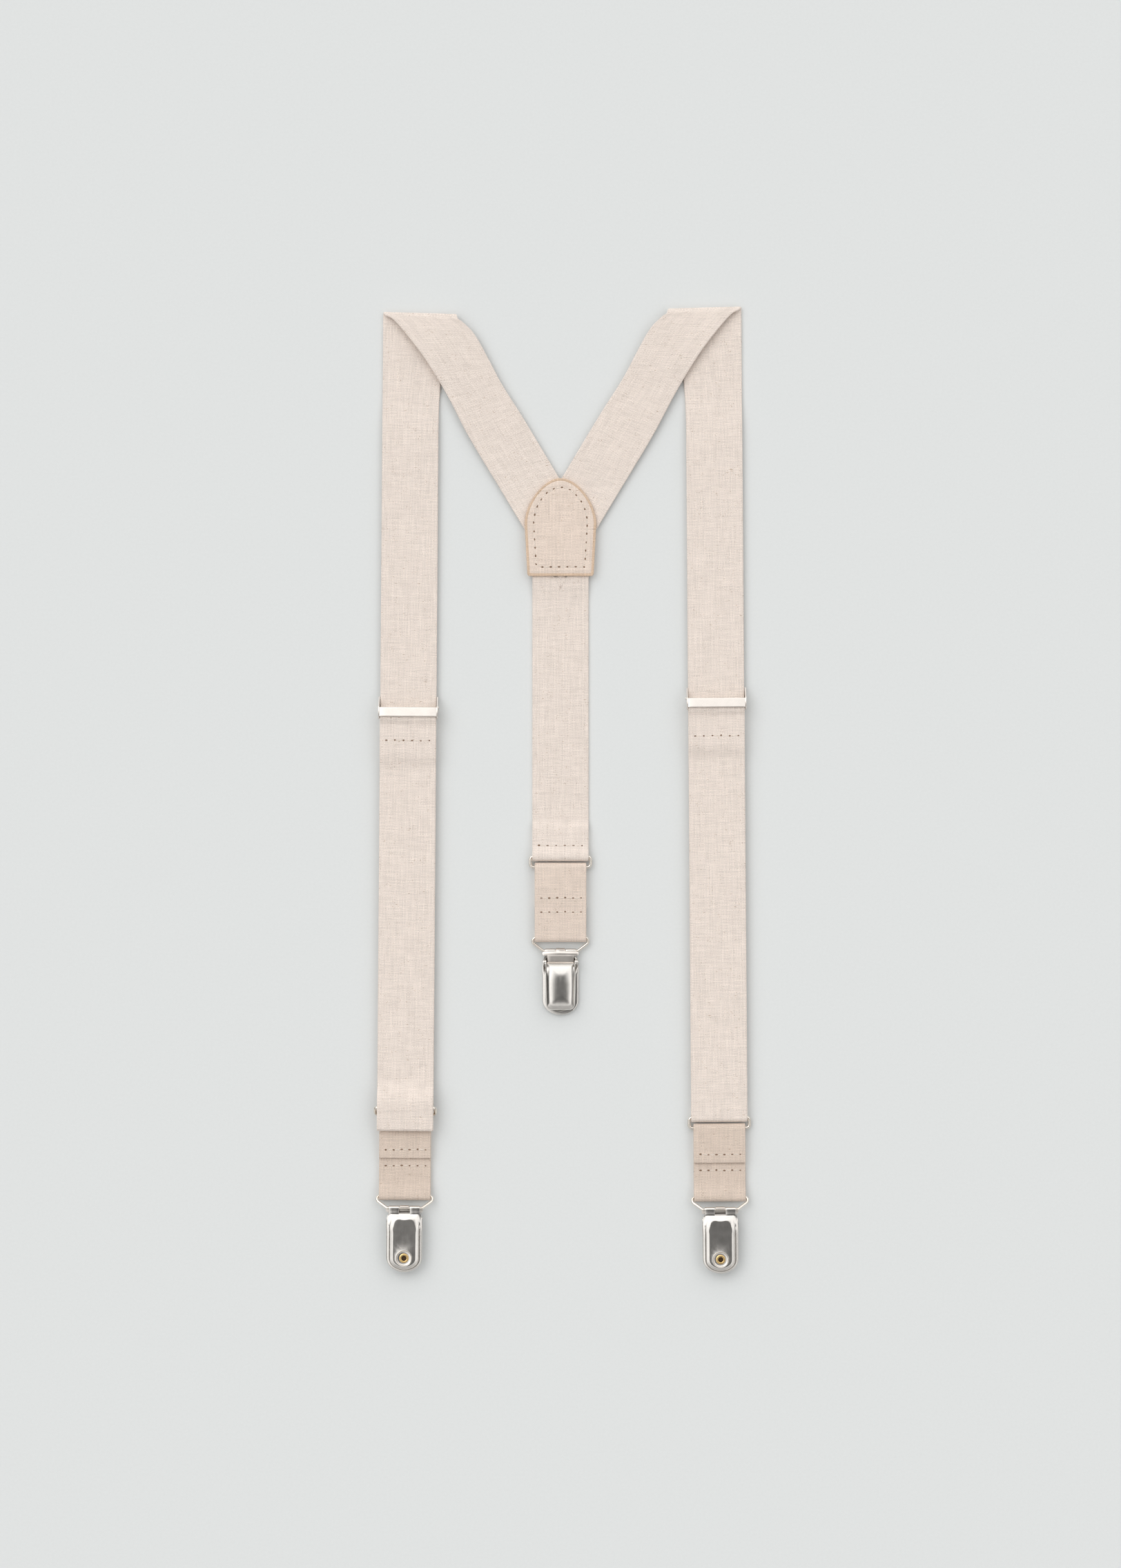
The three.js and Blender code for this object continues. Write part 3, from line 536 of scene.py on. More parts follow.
def front_strap(leg):
    side = side_of[leg]
    outer, inner = shoulder_edges(leg)
    down, _ = bight_path(leg)
    straight = run(shoulder_foot - 3, down[0][0], strap_level)[:-1] + down
    left_edge, right_edge = spanning(straight, *strap_sides)
    to_mm = world_mm.inverted() @ space[leg]
    low_outer = [to_mm @ p for p in (left_edge if side < 0 else right_edge)]
    low_inner = [to_mm @ p for p in (right_edge if side < 0 else left_edge)]
    bm = bmesh.new()
    length = lay(bm, outer + low_outer, inner + low_inner, strap_thick, strap_edge, groove=selvedge,
                 cut_from=500 * (side + 1))
    # the diagonals are trimmed where they butt under the patch
    bmesh.ops.bisect_plane(bm, geom=bm.verts[:] + bm.edges[:] + bm.faces[:], dist=1e-4,
                           plane_co=(crossing.x + side * 0.1, 0, 0), plane_no=(-side, 0, 0), clear_outer=True)
    bmesh.ops.holes_fill(bm, edges=[e for e in bm.edges if e.is_boundary], sides=0)
    piece = piece_from(bm, f"{leg}_strap", world_mm, strap_linen)
    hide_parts(f"{leg}_shoulder_strap", f"{leg}_front_strap", f"{leg}_front_strap_lower",
                f"{leg}_ring_bight")
    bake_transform(piece)
    return piece


def adjuster_levels(leg):
    """The sewn loop's bar (y, z), and the webbing's levels below and above it."""
    pivot_y, pivot_z = place_of(leg, "cam_lever")
    bar = pivot_y - 4.4
    bar_z = return_level + strap_thick / 2 + cloth_gap + 0.45
    return bar, bar_z, 2 * bar_z - return_level, pivot_y, pivot_z


def return_strap(leg):
    _, back = bight_path(leg)
    bar, bar_z, loop_top, _, _ = adjuster_levels(leg)
    tail = 17
    stitched = return_level + strap_thick + cloth_gap
    path = back + run(back[-1][0] + 3, bar - tail - 8, return_level)
    path += slope(bar - tail - 6, return_level, bar - tail + 1, stitched)
    path += run(bar - tail + 2, bar - 8, stitched, 1.5) + run(bar - 7, bar - 4, stitched, 1.5)
    path += slope(bar - 3.4, stitched, bar - 0.3, loop_top)
    path += arc(bar, bar_z, loop_top - bar_z, 90, -90, 14) + run(bar - 2, bar - tail, return_level, 2)
    path = without_repeats(path)
    bm = bmesh.new()
    length = lay(bm, *spanning(path, *strap_sides), strap_thick, strap_edge, groove=selvedge,
                 cut_from=450 + 500 * (side_of[leg] + 1))
    piece = piece_from(bm, f"{leg}_strap_return", space[leg], strap_linen)
    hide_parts(f"{leg}_return_strap", f"{leg}_sewn_end")
    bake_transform(piece)


for leg in ("left", "right"):
    front_strap(leg)
    return_strap(leg)


# ---- The back strap ----------------------------------------------------------------
# The same webbing, sewn into the patch at its top. At its foot it passes over the back
# ring's upper bar and its end is turned under and stitched.

def back_strap():
    bar, bar_z = place_of("back", "ring_swing")
    low = strap_thick / 2
    over = low + strap_thick + cloth_gap
    patch_foot = 1000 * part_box("patch_outer")[0].y
    top = 1000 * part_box("back_strap")[1].y
    path = run(top, patch_foot, patch_level) + slope(patch_foot - 1, patch_level, patch_foot - 12, low)
    path += run(patch_foot - 14, bar + 18, low) + slope(bar + 17, low, bar + 11, over)
    path += slope(bar + 5, over, bar + 0.6, bar_z + fold_radius, 5)
    path += arc(bar, bar_z, fold_radius, 90, 270, 18) + [(bar + 4, low), (bar + 11.5, low)]
    path = without_repeats(path)
    bm = bmesh.new()
    length = lay(bm, *spanning(path, *strap_sides), strap_thick, strap_edge, groove=selvedge)
    piece = hung_piece(bm, "back_webbing", space["back"], "harness", "back_strap", strap_linen,
                       slot="linen_webbing", sharp=cloth_sharp)


back_strap()


# ---- The back patch ----------------------------------------------------------------
# Two layers of tan linen with turned and sealed edges hold the three straps' ends. They
# are cut to a pointed arch and stitched all round, four millimetres in from the edge.

patch_linen = linen("patch linen", (0.815, 0.685, 0.590), (0.42, 0.27, 0.16), thread=0.6, slub=0.9,
                    relief=0.05)
sealed_edge = linen("sealed edge", (0.700, 0.525, 0.385), (0.36, 0.22, 0.12), thread=0.6, slub=1.4,
                    relief=0.03)


def curve(z, steps, *corners):
    """A cubic curve's points at one level, from its four (x, y) control points."""
    return interpolate_bezier(*[Vector((x, y, z)) for x, y in corners], steps)


def mirrored(points):
    """The same points on the other side, in the opposite order."""
    return [Vector((-p.x, p.y, p.z)) for p in reversed(points)]


def patch_outline(inset, z):
    """The arch's outline in the back leg's frame, drawn in from its edge by inset."""
    low, high = (space["back"].inverted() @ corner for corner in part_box("patch_outer"))
    half = (high.x - low.x) / 2 - inset
    foot_half = half - 1.15
    corner = max(2.2 - inset, 0.3)
    foot = low.y + inset
    widest = high.y - 19.7
    top = high.y - inset
    shoulder = Vector((half, widest, z))
    points = curve(z, 6, (foot_half - corner, foot), (foot_half - 0.2, foot), (foot_half, foot + 0.2),
                   (foot_half, foot + corner))
    points += [points[-1].lerp(shoulder, i / 8) for i in range(1, 8)]
    points += curve(z, 20, (half, widest), (half - 0.4, widest + 9), (half * 0.46, top), (0, top))
    return points + mirrored(points[:-1])


def stacked(bm, outlines, looks=(), ends=True):
    """A shell drawn from the first outline through the others. Bands in looks are edging."""
    verts = [bm.verts.new(p) for p in outlines[0]]
    loops = [[bm.edges.new(pair) for pair in zip(verts, verts[1:] + verts[:1])]]
    for i, outline in enumerate(outlines[1:]):
        drawn = bmesh.ops.extrude_edge_only(bm, edges=loops[-1])["geom"]
        fresh = {g for g in drawn if isinstance(g, bmesh.types.BMVert)}
        verts = [next(w for w in (e.other_vert(v) for e in v.link_edges) if w in fresh) for v in verts]
        for v, place in zip(verts, outline):
            v.co = place
        loops.append([next(e for e in a.link_edges if e.other_vert(a) is b)
                      for a, b in zip(verts, verts[1:] + verts[:1])])
        for face in {f for e in loops[-1] for f in e.link_faces}:
            face.material_index = 1 if i in looks else 0
    if ends:
        bmesh.ops.edgeloop_fill(bm, edges=loops[0])
        bmesh.ops.edgeloop_fill(bm, edges=loops[-1])
    return loops


def flat_cloth_map(bm, shift):
    cloth = bm.loops.layers.uv.new("cloth")
    for face in bm.faces:
        for loop in face.loops:
            loop[cloth].uv = (loop.vert.co.x * 0.97 + shift, loop.vert.co.y)


for name, cad_node, inset, facing in (("patch_front", "patch_outer", 0.0, 1),
                                      ("patch_back", "patch_inner", 0.4, -1)):
    low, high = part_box(cad_node)
    under, over = (1000 * low.z, 1000 * high.z)[::facing]
    # a rounded edge, a pressed line inside it, and a valley where the stitches pull down
    dip = over - facing * 0.1
    profile = ((0.3, under), (0.0, under + facing * 0.25), (0.0, over - facing * 0.32), (0.12, dip),
               (0.4, over), (0.85, over), (1.0, dip), (1.15, over), (3.3, over), (3.75, dip),
               (4.25, dip), (4.7, over), (6.5, over))
    bm = bmesh.new()
    stacked(bm, [patch_outline(inset + i, z) for i, z in profile], looks=range(7))
    flat_cloth_map(bm, 40 * facing)
    made = hung_piece(bm, name, space["back"], "harness", cad_node, patch_linen, sealed_edge,
                      slot="linen_patch", sharp=cloth_sharp)


# ---- Stitching ---------------------------------------------------------------------
# Pale cotton thread, sewn by a walking-foot machine with a long stitch. Its needle leaves
# oval holes, drawn as flat dark lenses: painted shade inside each hole. Each stitch is drawn down into the
# cloth at both ends.

thread_look = speckled("cotton thread", 3000.0, 2.0, (0.35, (0.66, 0.56, 0.47)),
                       (0.65, (0.86, 0.79, 0.71)), 0.8, {"Sheen Weight": 0.2}, relief=0.00004)
# the needle holes' dark brown is painted shade
hole_shade_look = speckled("needle hole shade", 2200.0, 2.0, (0.35, (0.13, 0.075, 0.045)),
                     (0.65, (0.33, 0.22, 0.15)), 0.95, {})


def lens(bm, centre, along, length, width, height, material):
    """A small smooth lens that lies along a direction."""
    turn = along.to_track_quat("X", "Z").to_matrix().to_4x4()
    shape = Matrix.Translation(centre) @ turn @ Matrix.Diagonal((length / 2, width / 2, height / 2, 1))
    verts = bmesh.ops.create_uvsphere(bm, u_segments=10, v_segments=6, radius=1, matrix=shape)["verts"]
    for face in {f for v in verts for f in v.link_faces}:
        face.material_index = material


def seam(name, marks, leg, body, closed=False):
    """A line of stitches through needle marks, given in a leg's frame."""
    dice = random.Random(name)
    bm = bmesh.new()
    pairs = list(zip(marks, marks[1:] + marks[:1]))
    for here, there in pairs if closed else pairs[:-1]:
        along = there - here
        wander = Vector((0, dice.uniform(-0.16, 0.16), 0))
        sunk = Vector((0, 0, -0.02 - 0.1 * dice.random()))
        slant = Vector((0, dice.uniform(-0.35, 0.35), 0)) if not closed else Vector()
        lens(bm, (here + there) / 2 + sunk + wander / 2, along + slant, along.length * 0.84, 0.42, 0.42, 0)
        # a flat dark lens at each needle mark: painted shade inside the needle hole
        lens(bm, here + wander, along, 0.85 + 0.5 * dice.random(), 0.55 + 0.3 * dice.random(), 0.10, 1)
    if not closed:
        lens(bm, marks[-1], marks[-1] - marks[-2], 0.8, 0.6, 0.10, 1)
    piece = piece_from(bm, name, space[leg], thread_look, hole_shade_look)
    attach(piece, body)


def row(y, z, count=6, pitch=3.8, shift=0.0):
    """Needle marks straight across a strap."""
    return [Vector(((i - (count - 1) / 2) * pitch + shift, y, z)) for i in range(count)]


def marks_along(outline, pitch):
    """Needle marks at an even pitch round a closed outline."""
    lengths = [0.0]
    for a, b in zip(outline, outline[1:] + outline[:1]):
        lengths.append(lengths[-1] + (b - a).length)
    count = round(lengths[-1] / pitch)
    marks = []
    for i in range(count):
        s = lengths[-1] * i / count
        k = bisect_right(lengths, s) - 1
        t = (s - lengths[k]) / (lengths[k + 1] - lengths[k])
        marks.append(outline[k].lerp(outline[(k + 1) % len(outline)], t))
    return marks


patch_face = 1000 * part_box("patch_outer")[1].z
seam("patch_stitching", marks_along(patch_outline(4.0, patch_face - 0.08), 3.7), "back", "harness",
     closed=True)
seam("back_strap_stitching", row(-24.7, 2 * strap_thick + cloth_gap + 0.01), "back", "harness")
for leg in ("left", "right"):
    row_y = adjuster_levels(leg)[0] - (10.2 if leg == "left" else 12.2)
    sewn_level = return_level + strap_thick + cloth_gap + strap_thick / 2
    seam(f"{leg}_strap_stitching", row(row_y, sewn_level + 0.01), leg, f"{leg}_adjuster")


# ---- Nickel plate ------------------------------------------------------------------
# Steel wire and sheet, pressed and bent, then barrel plated with bright nickel. The warm
# plate is a little clouded, with fine rub marks and faint pitting from the barrel.

def worn_plate_group():
    group, given, out = new_group("worn plate", {"Place": None, "Cloud": 0.1, "Rough": 0.2, "Spread": 0.12},
                                  ("Tone", "Roughness", "Height"))

    def noise(scale, detail, stretch=(1, 1, 1)):
        at = node(group, "ShaderNodeMapping", {"Vector": given["Place"], "Scale": stretch})
        return noise_node(group, at.outputs[0], scale, detail)

    cloud, grain, rub = noise(330.0, 3.0), noise(2600.0, 2.0), noise(1500.0, 3.0, (1, 0.12, 1))
    tone = math_node(group, "MULTIPLY_ADD", math_node(group, "SUBTRACT", cloud, 0.5), given["Cloud"], 1.0)
    fine = times(group, math_node(group, "SUBTRACT", grain, 0.5), given["Cloud"])
    group.links.new(plus(group, tone, fine), out["Tone"])
    rubbed = times(group, rub, 0.6)
    mixed = plus(group, times(group, cloud, 0.6), rubbed)
    spread = times(group, math_node(group, "SUBTRACT", mixed, 0.6), given["Spread"])
    group.links.new(plus(group, given["Rough"], spread), out["Roughness"])
    group.links.new(plus(group, grain, rubbed), out["Height"])
    return group


worn_plate = worn_plate_group()


def plated(name, colour, rough=0.2, spread=0.14, cloud=0.16, relief=0.012):
    made, tree, shader = new_material(name)
    wear = node(tree, "ShaderNodeGroup", node_tree=worn_plate)
    here = node(tree, "ShaderNodeTexCoord").outputs["Object"]
    fill(tree, wear, {"Place": here, "Cloud": cloud, "Rough": rough, "Spread": spread})
    lit = node(tree, "ShaderNodeVectorMath", {0: colour, "Scale": wear.outputs["Tone"]}, operation="SCALE")
    fill(tree, shader, {"Base Color": lit.outputs[0], "Roughness": wear.outputs["Roughness"],
                        "Metallic": 1.0})
    emboss(tree, shader, wear.outputs["Height"], relief / 1000, 0.5)
    return made


nickel = plated("bright nickel", (0.80, 0.765, 0.72))
satin_nickel = plated("satin nickel", (0.81, 0.755, 0.70), rough=0.32)
wire_nickel = plated("wire nickel", (0.84, 0.78, 0.70), rough=0.22)


def soften(bm, verts, edge, segments=2):
    """Rounds the sharp edges among some new vertices."""
    sharp = {e for v in verts for e in v.link_edges if e.calc_face_angle(0) > 0.8}
    bmesh.ops.bevel(bm, geom=list(sharp), offset=edge, segments=segments, profile=0.5, affect="EDGES",
                    material=-1)


def rod(bm, radius, x0, x1, y, z, sides=24, edge=0.1):
    """A round rod along X with eased ends."""
    place = Matrix.Translation(((x0 + x1) / 2, y, z)) @ Matrix.Rotation(math.pi / 2, 4, "Y")
    verts = bmesh.ops.create_cone(bm, cap_ends=True, segments=sides, radius1=radius, radius2=radius,
                                  depth=abs(x1 - x0), matrix=place)["verts"]
    soften(bm, verts, edge)


def block(bm, x, y, z, edge=0.1):
    """A block between pairs of x, y and z, with eased edges."""
    spans = (x, y, z)
    place = Matrix.Translation([(a + b) / 2 for a, b in spans])
    shape = place @ Matrix.Diagonal([*(b - a for a, b in spans), 1])
    soften(bm, bmesh.ops.create_cube(bm, size=1, matrix=shape)["verts"], edge)


def blank(bm, outline, depth, edge=0.1):
    """A flat blank: an outline's face pushed through by a vector, with eased edges."""
    face = bm.faces.new([bm.verts.new(p) for p in outline])
    verts = list(face.verts)
    pushed = bmesh.ops.extrude_face_region(bm, geom=[face])["geom"]
    far = [g for g in pushed if isinstance(g, bmesh.types.BMVert)]
    bmesh.ops.translate(bm, vec=depth, verts=far)
    bmesh.ops.recalc_face_normals(bm, faces=list({f for v in verts + far for f in v.link_faces}))
    soften(bm, verts + far, edge)


def bent_wire(bm, radius, start, heading, moves, sides=16):
    """A round wire bent in the XY plane. It starts at a point and follows its moves: a
    straight run in millimetres, or a bend as (degrees, radius)."""
    place, way = Vector(start), Vector(heading)
    turn = way.to_track_quat("Z", "X").to_matrix().to_4x4()
    verts = bmesh.ops.create_circle(bm, cap_ends=True, segments=sides, radius=radius,
                                    matrix=Matrix.Translation(place) @ turn)["verts"]
    for move in moves:
        rim = list({e for v in verts for e in v.link_edges if e.other_vert(v) in set(verts)})
        if isinstance(move, tuple):
            degrees, bend = move
            angle = math.radians(degrees)
            centre = place + up.cross(way) * math.copysign(bend, degrees)
            made = bmesh.ops.spin(bm, geom=verts + rim, cent=centre, axis=up, dvec=(0, 0, 0), angle=angle,
                                  steps=max(3, round(abs(degrees) / 12)), use_duplicate=False)["geom_last"]
            swing = Matrix.Rotation(angle, 3, up)
            place, way = centre + swing @ (place - centre), swing @ way
        else:
            made = bmesh.ops.extrude_edge_only(bm, edges=rim)["geom"]
        verts = [g for g in made if isinstance(g, bmesh.types.BMVert)]
        if not isinstance(move, tuple):
            bmesh.ops.translate(bm, vec=way * move, verts=verts)
            place = place + way * move
    end = {e for v in verts for e in v.link_edges if e.other_vert(v) in set(verts)}
    bmesh.ops.edgeloop_fill(bm, edges=list(end))


# ---- The adjusters -----------------------------------------------------------------
# A pressed band crosses over the strap. Its ears carry the bar of the sewn loop and the
# pins of a toothed lever that lies behind the strap and bites it.

sheet = 0.5
band_width = 4.1
ear_inside = strap_width / 2 + cloth_gap


def adjuster(leg):
    bar, bar_z, _, pivot_y, pivot_z = adjuster_levels(leg)
    where = space[leg] @ Matrix.Translation((0, pivot_y, 0))
    bar -= pivot_y
    low, high = 6.3, 7.0
    middle = ear_inside + sheet / 2
    bend = 0.9

    def band_edge(y, z):
        corner = interpolate_bezier(Vector((middle, y, z - bend)), Vector((middle, y, z - bend * 0.4)),
                                    Vector((middle - bend * 0.4, y, z)), Vector((middle - bend, y, z)), 7)
        line = [Vector((middle, y, z - 2.4)), *corner]
        line += [Vector((middle - bend + (2 * bend - 2 * middle) * i / 8, y, z)) for i in range(1, 8)]
        return line + [Vector((-p.x, y, p.z)) for p in reversed(line[:8])]

    bm = bmesh.new()
    lay(bm, band_edge(0, low + sheet / 2), band_edge(-band_width, high + sheet / 2), sheet, 0.14, columns=8)
    for side in (-1, 1):
        ear = [(bar - 0.8, bar_z - 0.9), (-1.4, 0.15), (-0.6, 0.02), (0.9, 0.02), (4.2, 1.3), (4.8, 1.9),
               (4.7, 2.8), (3.9, 3.3), (0.5, 6.4), (-0.2, 6.9), (-4.0, 7.1), (bar - 0.6, 6.6),
               (bar - 0.8, 6.0)]
        x0 = ear_inside if side > 0 else -ear_inside - sheet
        blank(bm, [Vector((x0, y, z)) for y, z in ear], (sheet, 0, 0), 0.12)
        rod(bm, 0.62, side * (ear_inside + 0.1), side * (ear_inside + sheet + 0.28), 0, pivot_z, 20)
    rod(bm, 0.45, -ear_inside - 0.2, ear_inside + 0.2, bar, bar_z, 16)
    block(bm, (-ear_inside - 0.1, ear_inside + 0.1), (-0.55, -0.08), (3.0, low + 0.2), 0.1)
    hung_piece(bm, f"{leg}_adjuster_band", where, f"{leg}_adjuster", f"{leg}_adjuster_frame", satin_nickel)

    half = ear_inside - cloth_gap
    teeth = 9
    pitch = (2 * half - 3) / teeth
    bm = bmesh.new()
    rod(bm, 0.5, -half, half, 0, pivot_z, 16)
    rod(bm, 0.38, -ear_inside - sheet - 0.4, ear_inside + sheet + 0.4, 0, pivot_z, 16)
    lay(bm, *spanning([(0.05, pivot_z - 0.1), (-0.7, 0.5), (-1.6, 0.32), (-4, 0.3), (-8, 0.3), (-11.9, 0.32),
                       (-12.5, 0.45)], -half, half), 0.5, 0.1, columns=8)
    for i in range(teeth):
        start = -half + 1.5 + (i + 0.25) * pitch
        top = pivot_z + 0.6
        tooth = [(-0.3, top - 0.4), (0.32, top - 0.4), (0.12, top), (-0.02, top)]
        blank(bm, [Vector((start, y, z)) for y, z in tooth], (pitch / 2, 0, 0), 0.04)
    hung_piece(bm, f"{leg}_toothed_lever", where, f"{leg}_cam", f"{leg}_adjuster_lever", nickel)


for leg in ("left", "right"):
    adjuster(leg)


# ---- Wire rings, tabs and bails ----------------------------------------------------
# A ring of thick wire takes the strap on its upper bar and the tab on its lower one. The
# tab is a short length of the linen, lapped and sewn twice. A thinner, flared wire bail
# hangs in its foot and carries the clip in two rolled knuckles. Each wire's ends butt.

tab_linen = linen("tab linen", (0.720, 0.598, 0.505), (0.36, 0.23, 0.14), thread=0.56, slub=0.8)
pale_tab_linen = linen("pale tab linen", (0.785, 0.660, 0.568), (0.38, 0.25, 0.15), thread=0.56, slub=0.8)
tab_width = 22.8
bail_wire = 1.2
wire_butt = 0.06
flap_lap = 6.2


def wire_ring(leg):
    (high_y, high_z), (low_y, low_z) = place_of(leg, "ring_swing"), place_of(leg, "tab_swing")
    tilt = math.atan2(high_z - low_z, high_y - low_y)
    bars = math.hypot(high_y - low_y, high_z - low_z)
    half = strap_width / 2 + cloth_gap + ring_wire / 2
    bend = 1.35
    where = space[leg] @ Matrix.Translation((0, (high_y + low_y) / 2, (high_z + low_z) / 2))
    quarter, end_run = (-90, bend), bars - 2 * bend
    bm = bmesh.new()
    bent_wire(bm, ring_wire / 2, (wire_butt, bars / 2, 0), (1, 0, 0),
              [half - bend - wire_butt, quarter, end_run, quarter, 2 * (half - bend), quarter, end_run,
               quarter, half - bend - wire_butt])
    hung_piece(bm, f"{leg}_wire_ring", where @ Matrix.Rotation(tilt, 4, "X"), f"{leg}_ring", f"{leg}_ring",
               wire_nickel, slot="ring_metal")


def fabric_tab(leg):
    ring_y, _ = place_of(leg, "tab_swing")
    bail_y, _ = place_of(leg, "bail_swing")
    seam_y = {"left": -162.5, "right": -164.6, "back": -52.0}[leg]
    level = 2.0
    low = strap_thick / 2
    near, flap = low + strap_thick + cloth_gap, low + 2 * (strap_thick + cloth_gap)
    bail_fold = bail_wire / 2 + strap_thick / 2 + 0.2
    path = run(seam_y + flap_lap, bail_y + 7, near, 2)
    path += slope(bail_y + 6, near, bail_y + 0.5, level + bail_fold, 6)
    path += arc(bail_y, level, bail_fold, 90, 270, 16)
    path += slope(bail_y + 0.8, level - bail_fold, bail_y + 4, low, 4)
    path += run(bail_y + 5, ring_y - 4, low) + slope(ring_y - 3, low, ring_y - 0.8, level - fold_radius, 4)
    path += arc(ring_y, level, fold_radius, -90, 90, 16)
    path += slope(ring_y - 0.8, level + fold_radius, ring_y - 4, flap, 4) + run(ring_y - 5, seam_y, flap, 2)
    if leg == "back":
        path = [(y, 2 * level - z) for y, z in path]
    path = without_repeats(path)
    bm = bmesh.new()
    length = lay(bm, *spanning(path, -tab_width / 2, tab_width / 2), strap_thick, 0.38,
                 cut_from={"left": 90, "right": 200, "back": 320}[leg])
    look = pale_tab_linen if leg == "back" else tab_linen
    piece = hung_piece(bm, f"{leg}_linen_tab", space[leg], f"{leg}_tab", f"{leg}_tab", look,
                       slot="linen_tab", sharp=cloth_sharp)
    # the fronts are sewn on both sides of the flap's end, and the back through its plain face
    if leg == "back":
        rows = ((-47.7, flap), (-53.9, flap))
    else:
        rows = ((seam_y + 3.8, flap), (seam_y - 3.4, near))
    for i, (y, z) in enumerate(rows):
        marks = row(y, z + strap_thick / 2 + 0.01, pitch=3.5, shift=0.3)
        seam(f"{leg}_tab_stitching_{i + 1}", marks, leg, f"{leg}_tab")


def wire_bail(leg):
    (top_y, top_z), (foot_y, foot_z) = place_of(leg, "bail_swing"), place_of(leg, "clip_swing")
    drop = math.hypot(top_y - foot_y, top_z - foot_z)
    tilt = -math.asin((foot_z - top_z) / drop)
    half_top, half_foot = 12.25, 7.7
    bend, soft = 1.6, 1.2
    # each wing is a straight line from the round top corner to the foot's softer one
    reach = Vector((half_top - bend - half_foot, drop - bend)).length
    wing = math.sqrt(reach ** 2 - bend ** 2)
    splay = math.degrees(math.atan2(drop - bend, half_top - bend - half_foot) - math.asin(bend / reach))
    second = soft * math.tan(math.radians(splay / 2))
    half = [half_top - bend - wire_butt, (-(180 - splay), bend), wing - second, (-splay, soft)]
    bm = bmesh.new()
    bent_wire(bm, bail_wire / 2, (wire_butt, 0, 0), (1, 0, 0),
              half + [2 * (half_foot - second)] + half[::-1])
    where = space[leg] @ Matrix.Translation((0, top_y, top_z)) @ Matrix.Rotation(tilt, 4, "X")
    hung_piece(bm, f"{leg}_wire_bail", where, f"{leg}_bail", f"{leg}_bail", wire_nickel)


for leg in side_of:
    wire_ring(leg)
    fabric_tab(leg)
    wire_bail(leg)


# ---- The clips ---------------------------------------------------------------------
# Each clip is four pressings and a pad. The base plate is a shallow pan, rolled over the
# bail at its top. The jaw plate hooks round the bail too, and a domed cover lever, pinned
# in the base plate's ears, presses the jaw shut. In a clip's frame x is across, y runs to
# minus at the foot, z 0 is the base plate's back and z grows towards the cover.

clip_height = 6.7
clip_length = 28.2
knuckle_level = 1.9
lever_pivot = (-4.8, 4.6)
eyelet_y = -clip_length + 6.3

pad_look = speckled("milky plastic", 600.0, 3.0, (0.3, (0.76, 0.74, 0.70)), (0.7, (0.86, 0.845, 0.81)), 0.42,
                    {"Subsurface Weight": 0.15, "Subsurface Radius": (0.002, 0.0018, 0.0015)},
                    relief=0.00003, strength=0.4)

brass = plated("rolled brass", (0.78, 0.55, 0.25), rough=0.24, cloud=0.3)
# a dark brown plate for the inside of the eyelet's bore: painted shade
painted_bore_shade = plated("painted bore shade", (0.10, 0.065, 0.04), rough=0.5, cloud=0.5)


def clip_outline(inset, z, top_z, foot_share=0.86):
    """The base plate's outline: a round foot, straight sides and a top that runs up to
    the knuckles, at a level of its own."""
    half, shoulder, round_foot = 7.9 - inset, 7.0 - inset, 6.6 - inset
    top = -2.2 - 0.9 * inset
    foot = -clip_length + foot_share * inset
    corner = 0.6 + 0.62 * inset
    left = [Vector((-(shoulder - corner) * i / 4, top + 0.12 * inset * ((i / 4) ** 2 - 1), top_z))
            for i in range(5)]
    left += curve(top_z, 7, left[-1].xy, (-shoulder + corner * 0.3, top),
                  (-shoulder - 0.1, top - corner * 0.4), (-shoulder - 0.35, top - corner - 0.4))[1:]
    side = [left[-1].lerp(Vector((-half, -10.5, top_z)), i / 5) for i in range(1, 6)]
    for i, point in enumerate(side):
        point.x -= 0.35 * math.sin(math.pi * (i + 1) / 5)
        point.z += (z - top_z) * (i + 1) / 5
    left += side
    left += [Vector((-half, -10.5 + (foot + round_foot + 10.5) * i / 4, z)) for i in range(1, 4)]
    left += curve(z, 14, (-half, foot + round_foot), (-half, foot + round_foot * 0.35),
                  (-round_foot * 0.55, foot), (0, foot))
    return left + mirrored(left[1:-1])


def circle_at(y, radius, z, steps=36):
    return [Vector((radius * math.cos(a), y + radius * math.sin(a), z))
            for a in (2 * math.pi * i / steps for i in range(steps))]


def pierced(bm, outlines, holes):
    """A shell like stacked(), with a hole's outlines joined to both of its flat ends."""
    outer, inner = stacked(bm, outlines, ends=False), stacked(bm, holes, ends=False)
    for i in (0, -1):
        bmesh.ops.triangle_fill(bm, edges=outer[i] + inner[i], use_beauty=True)


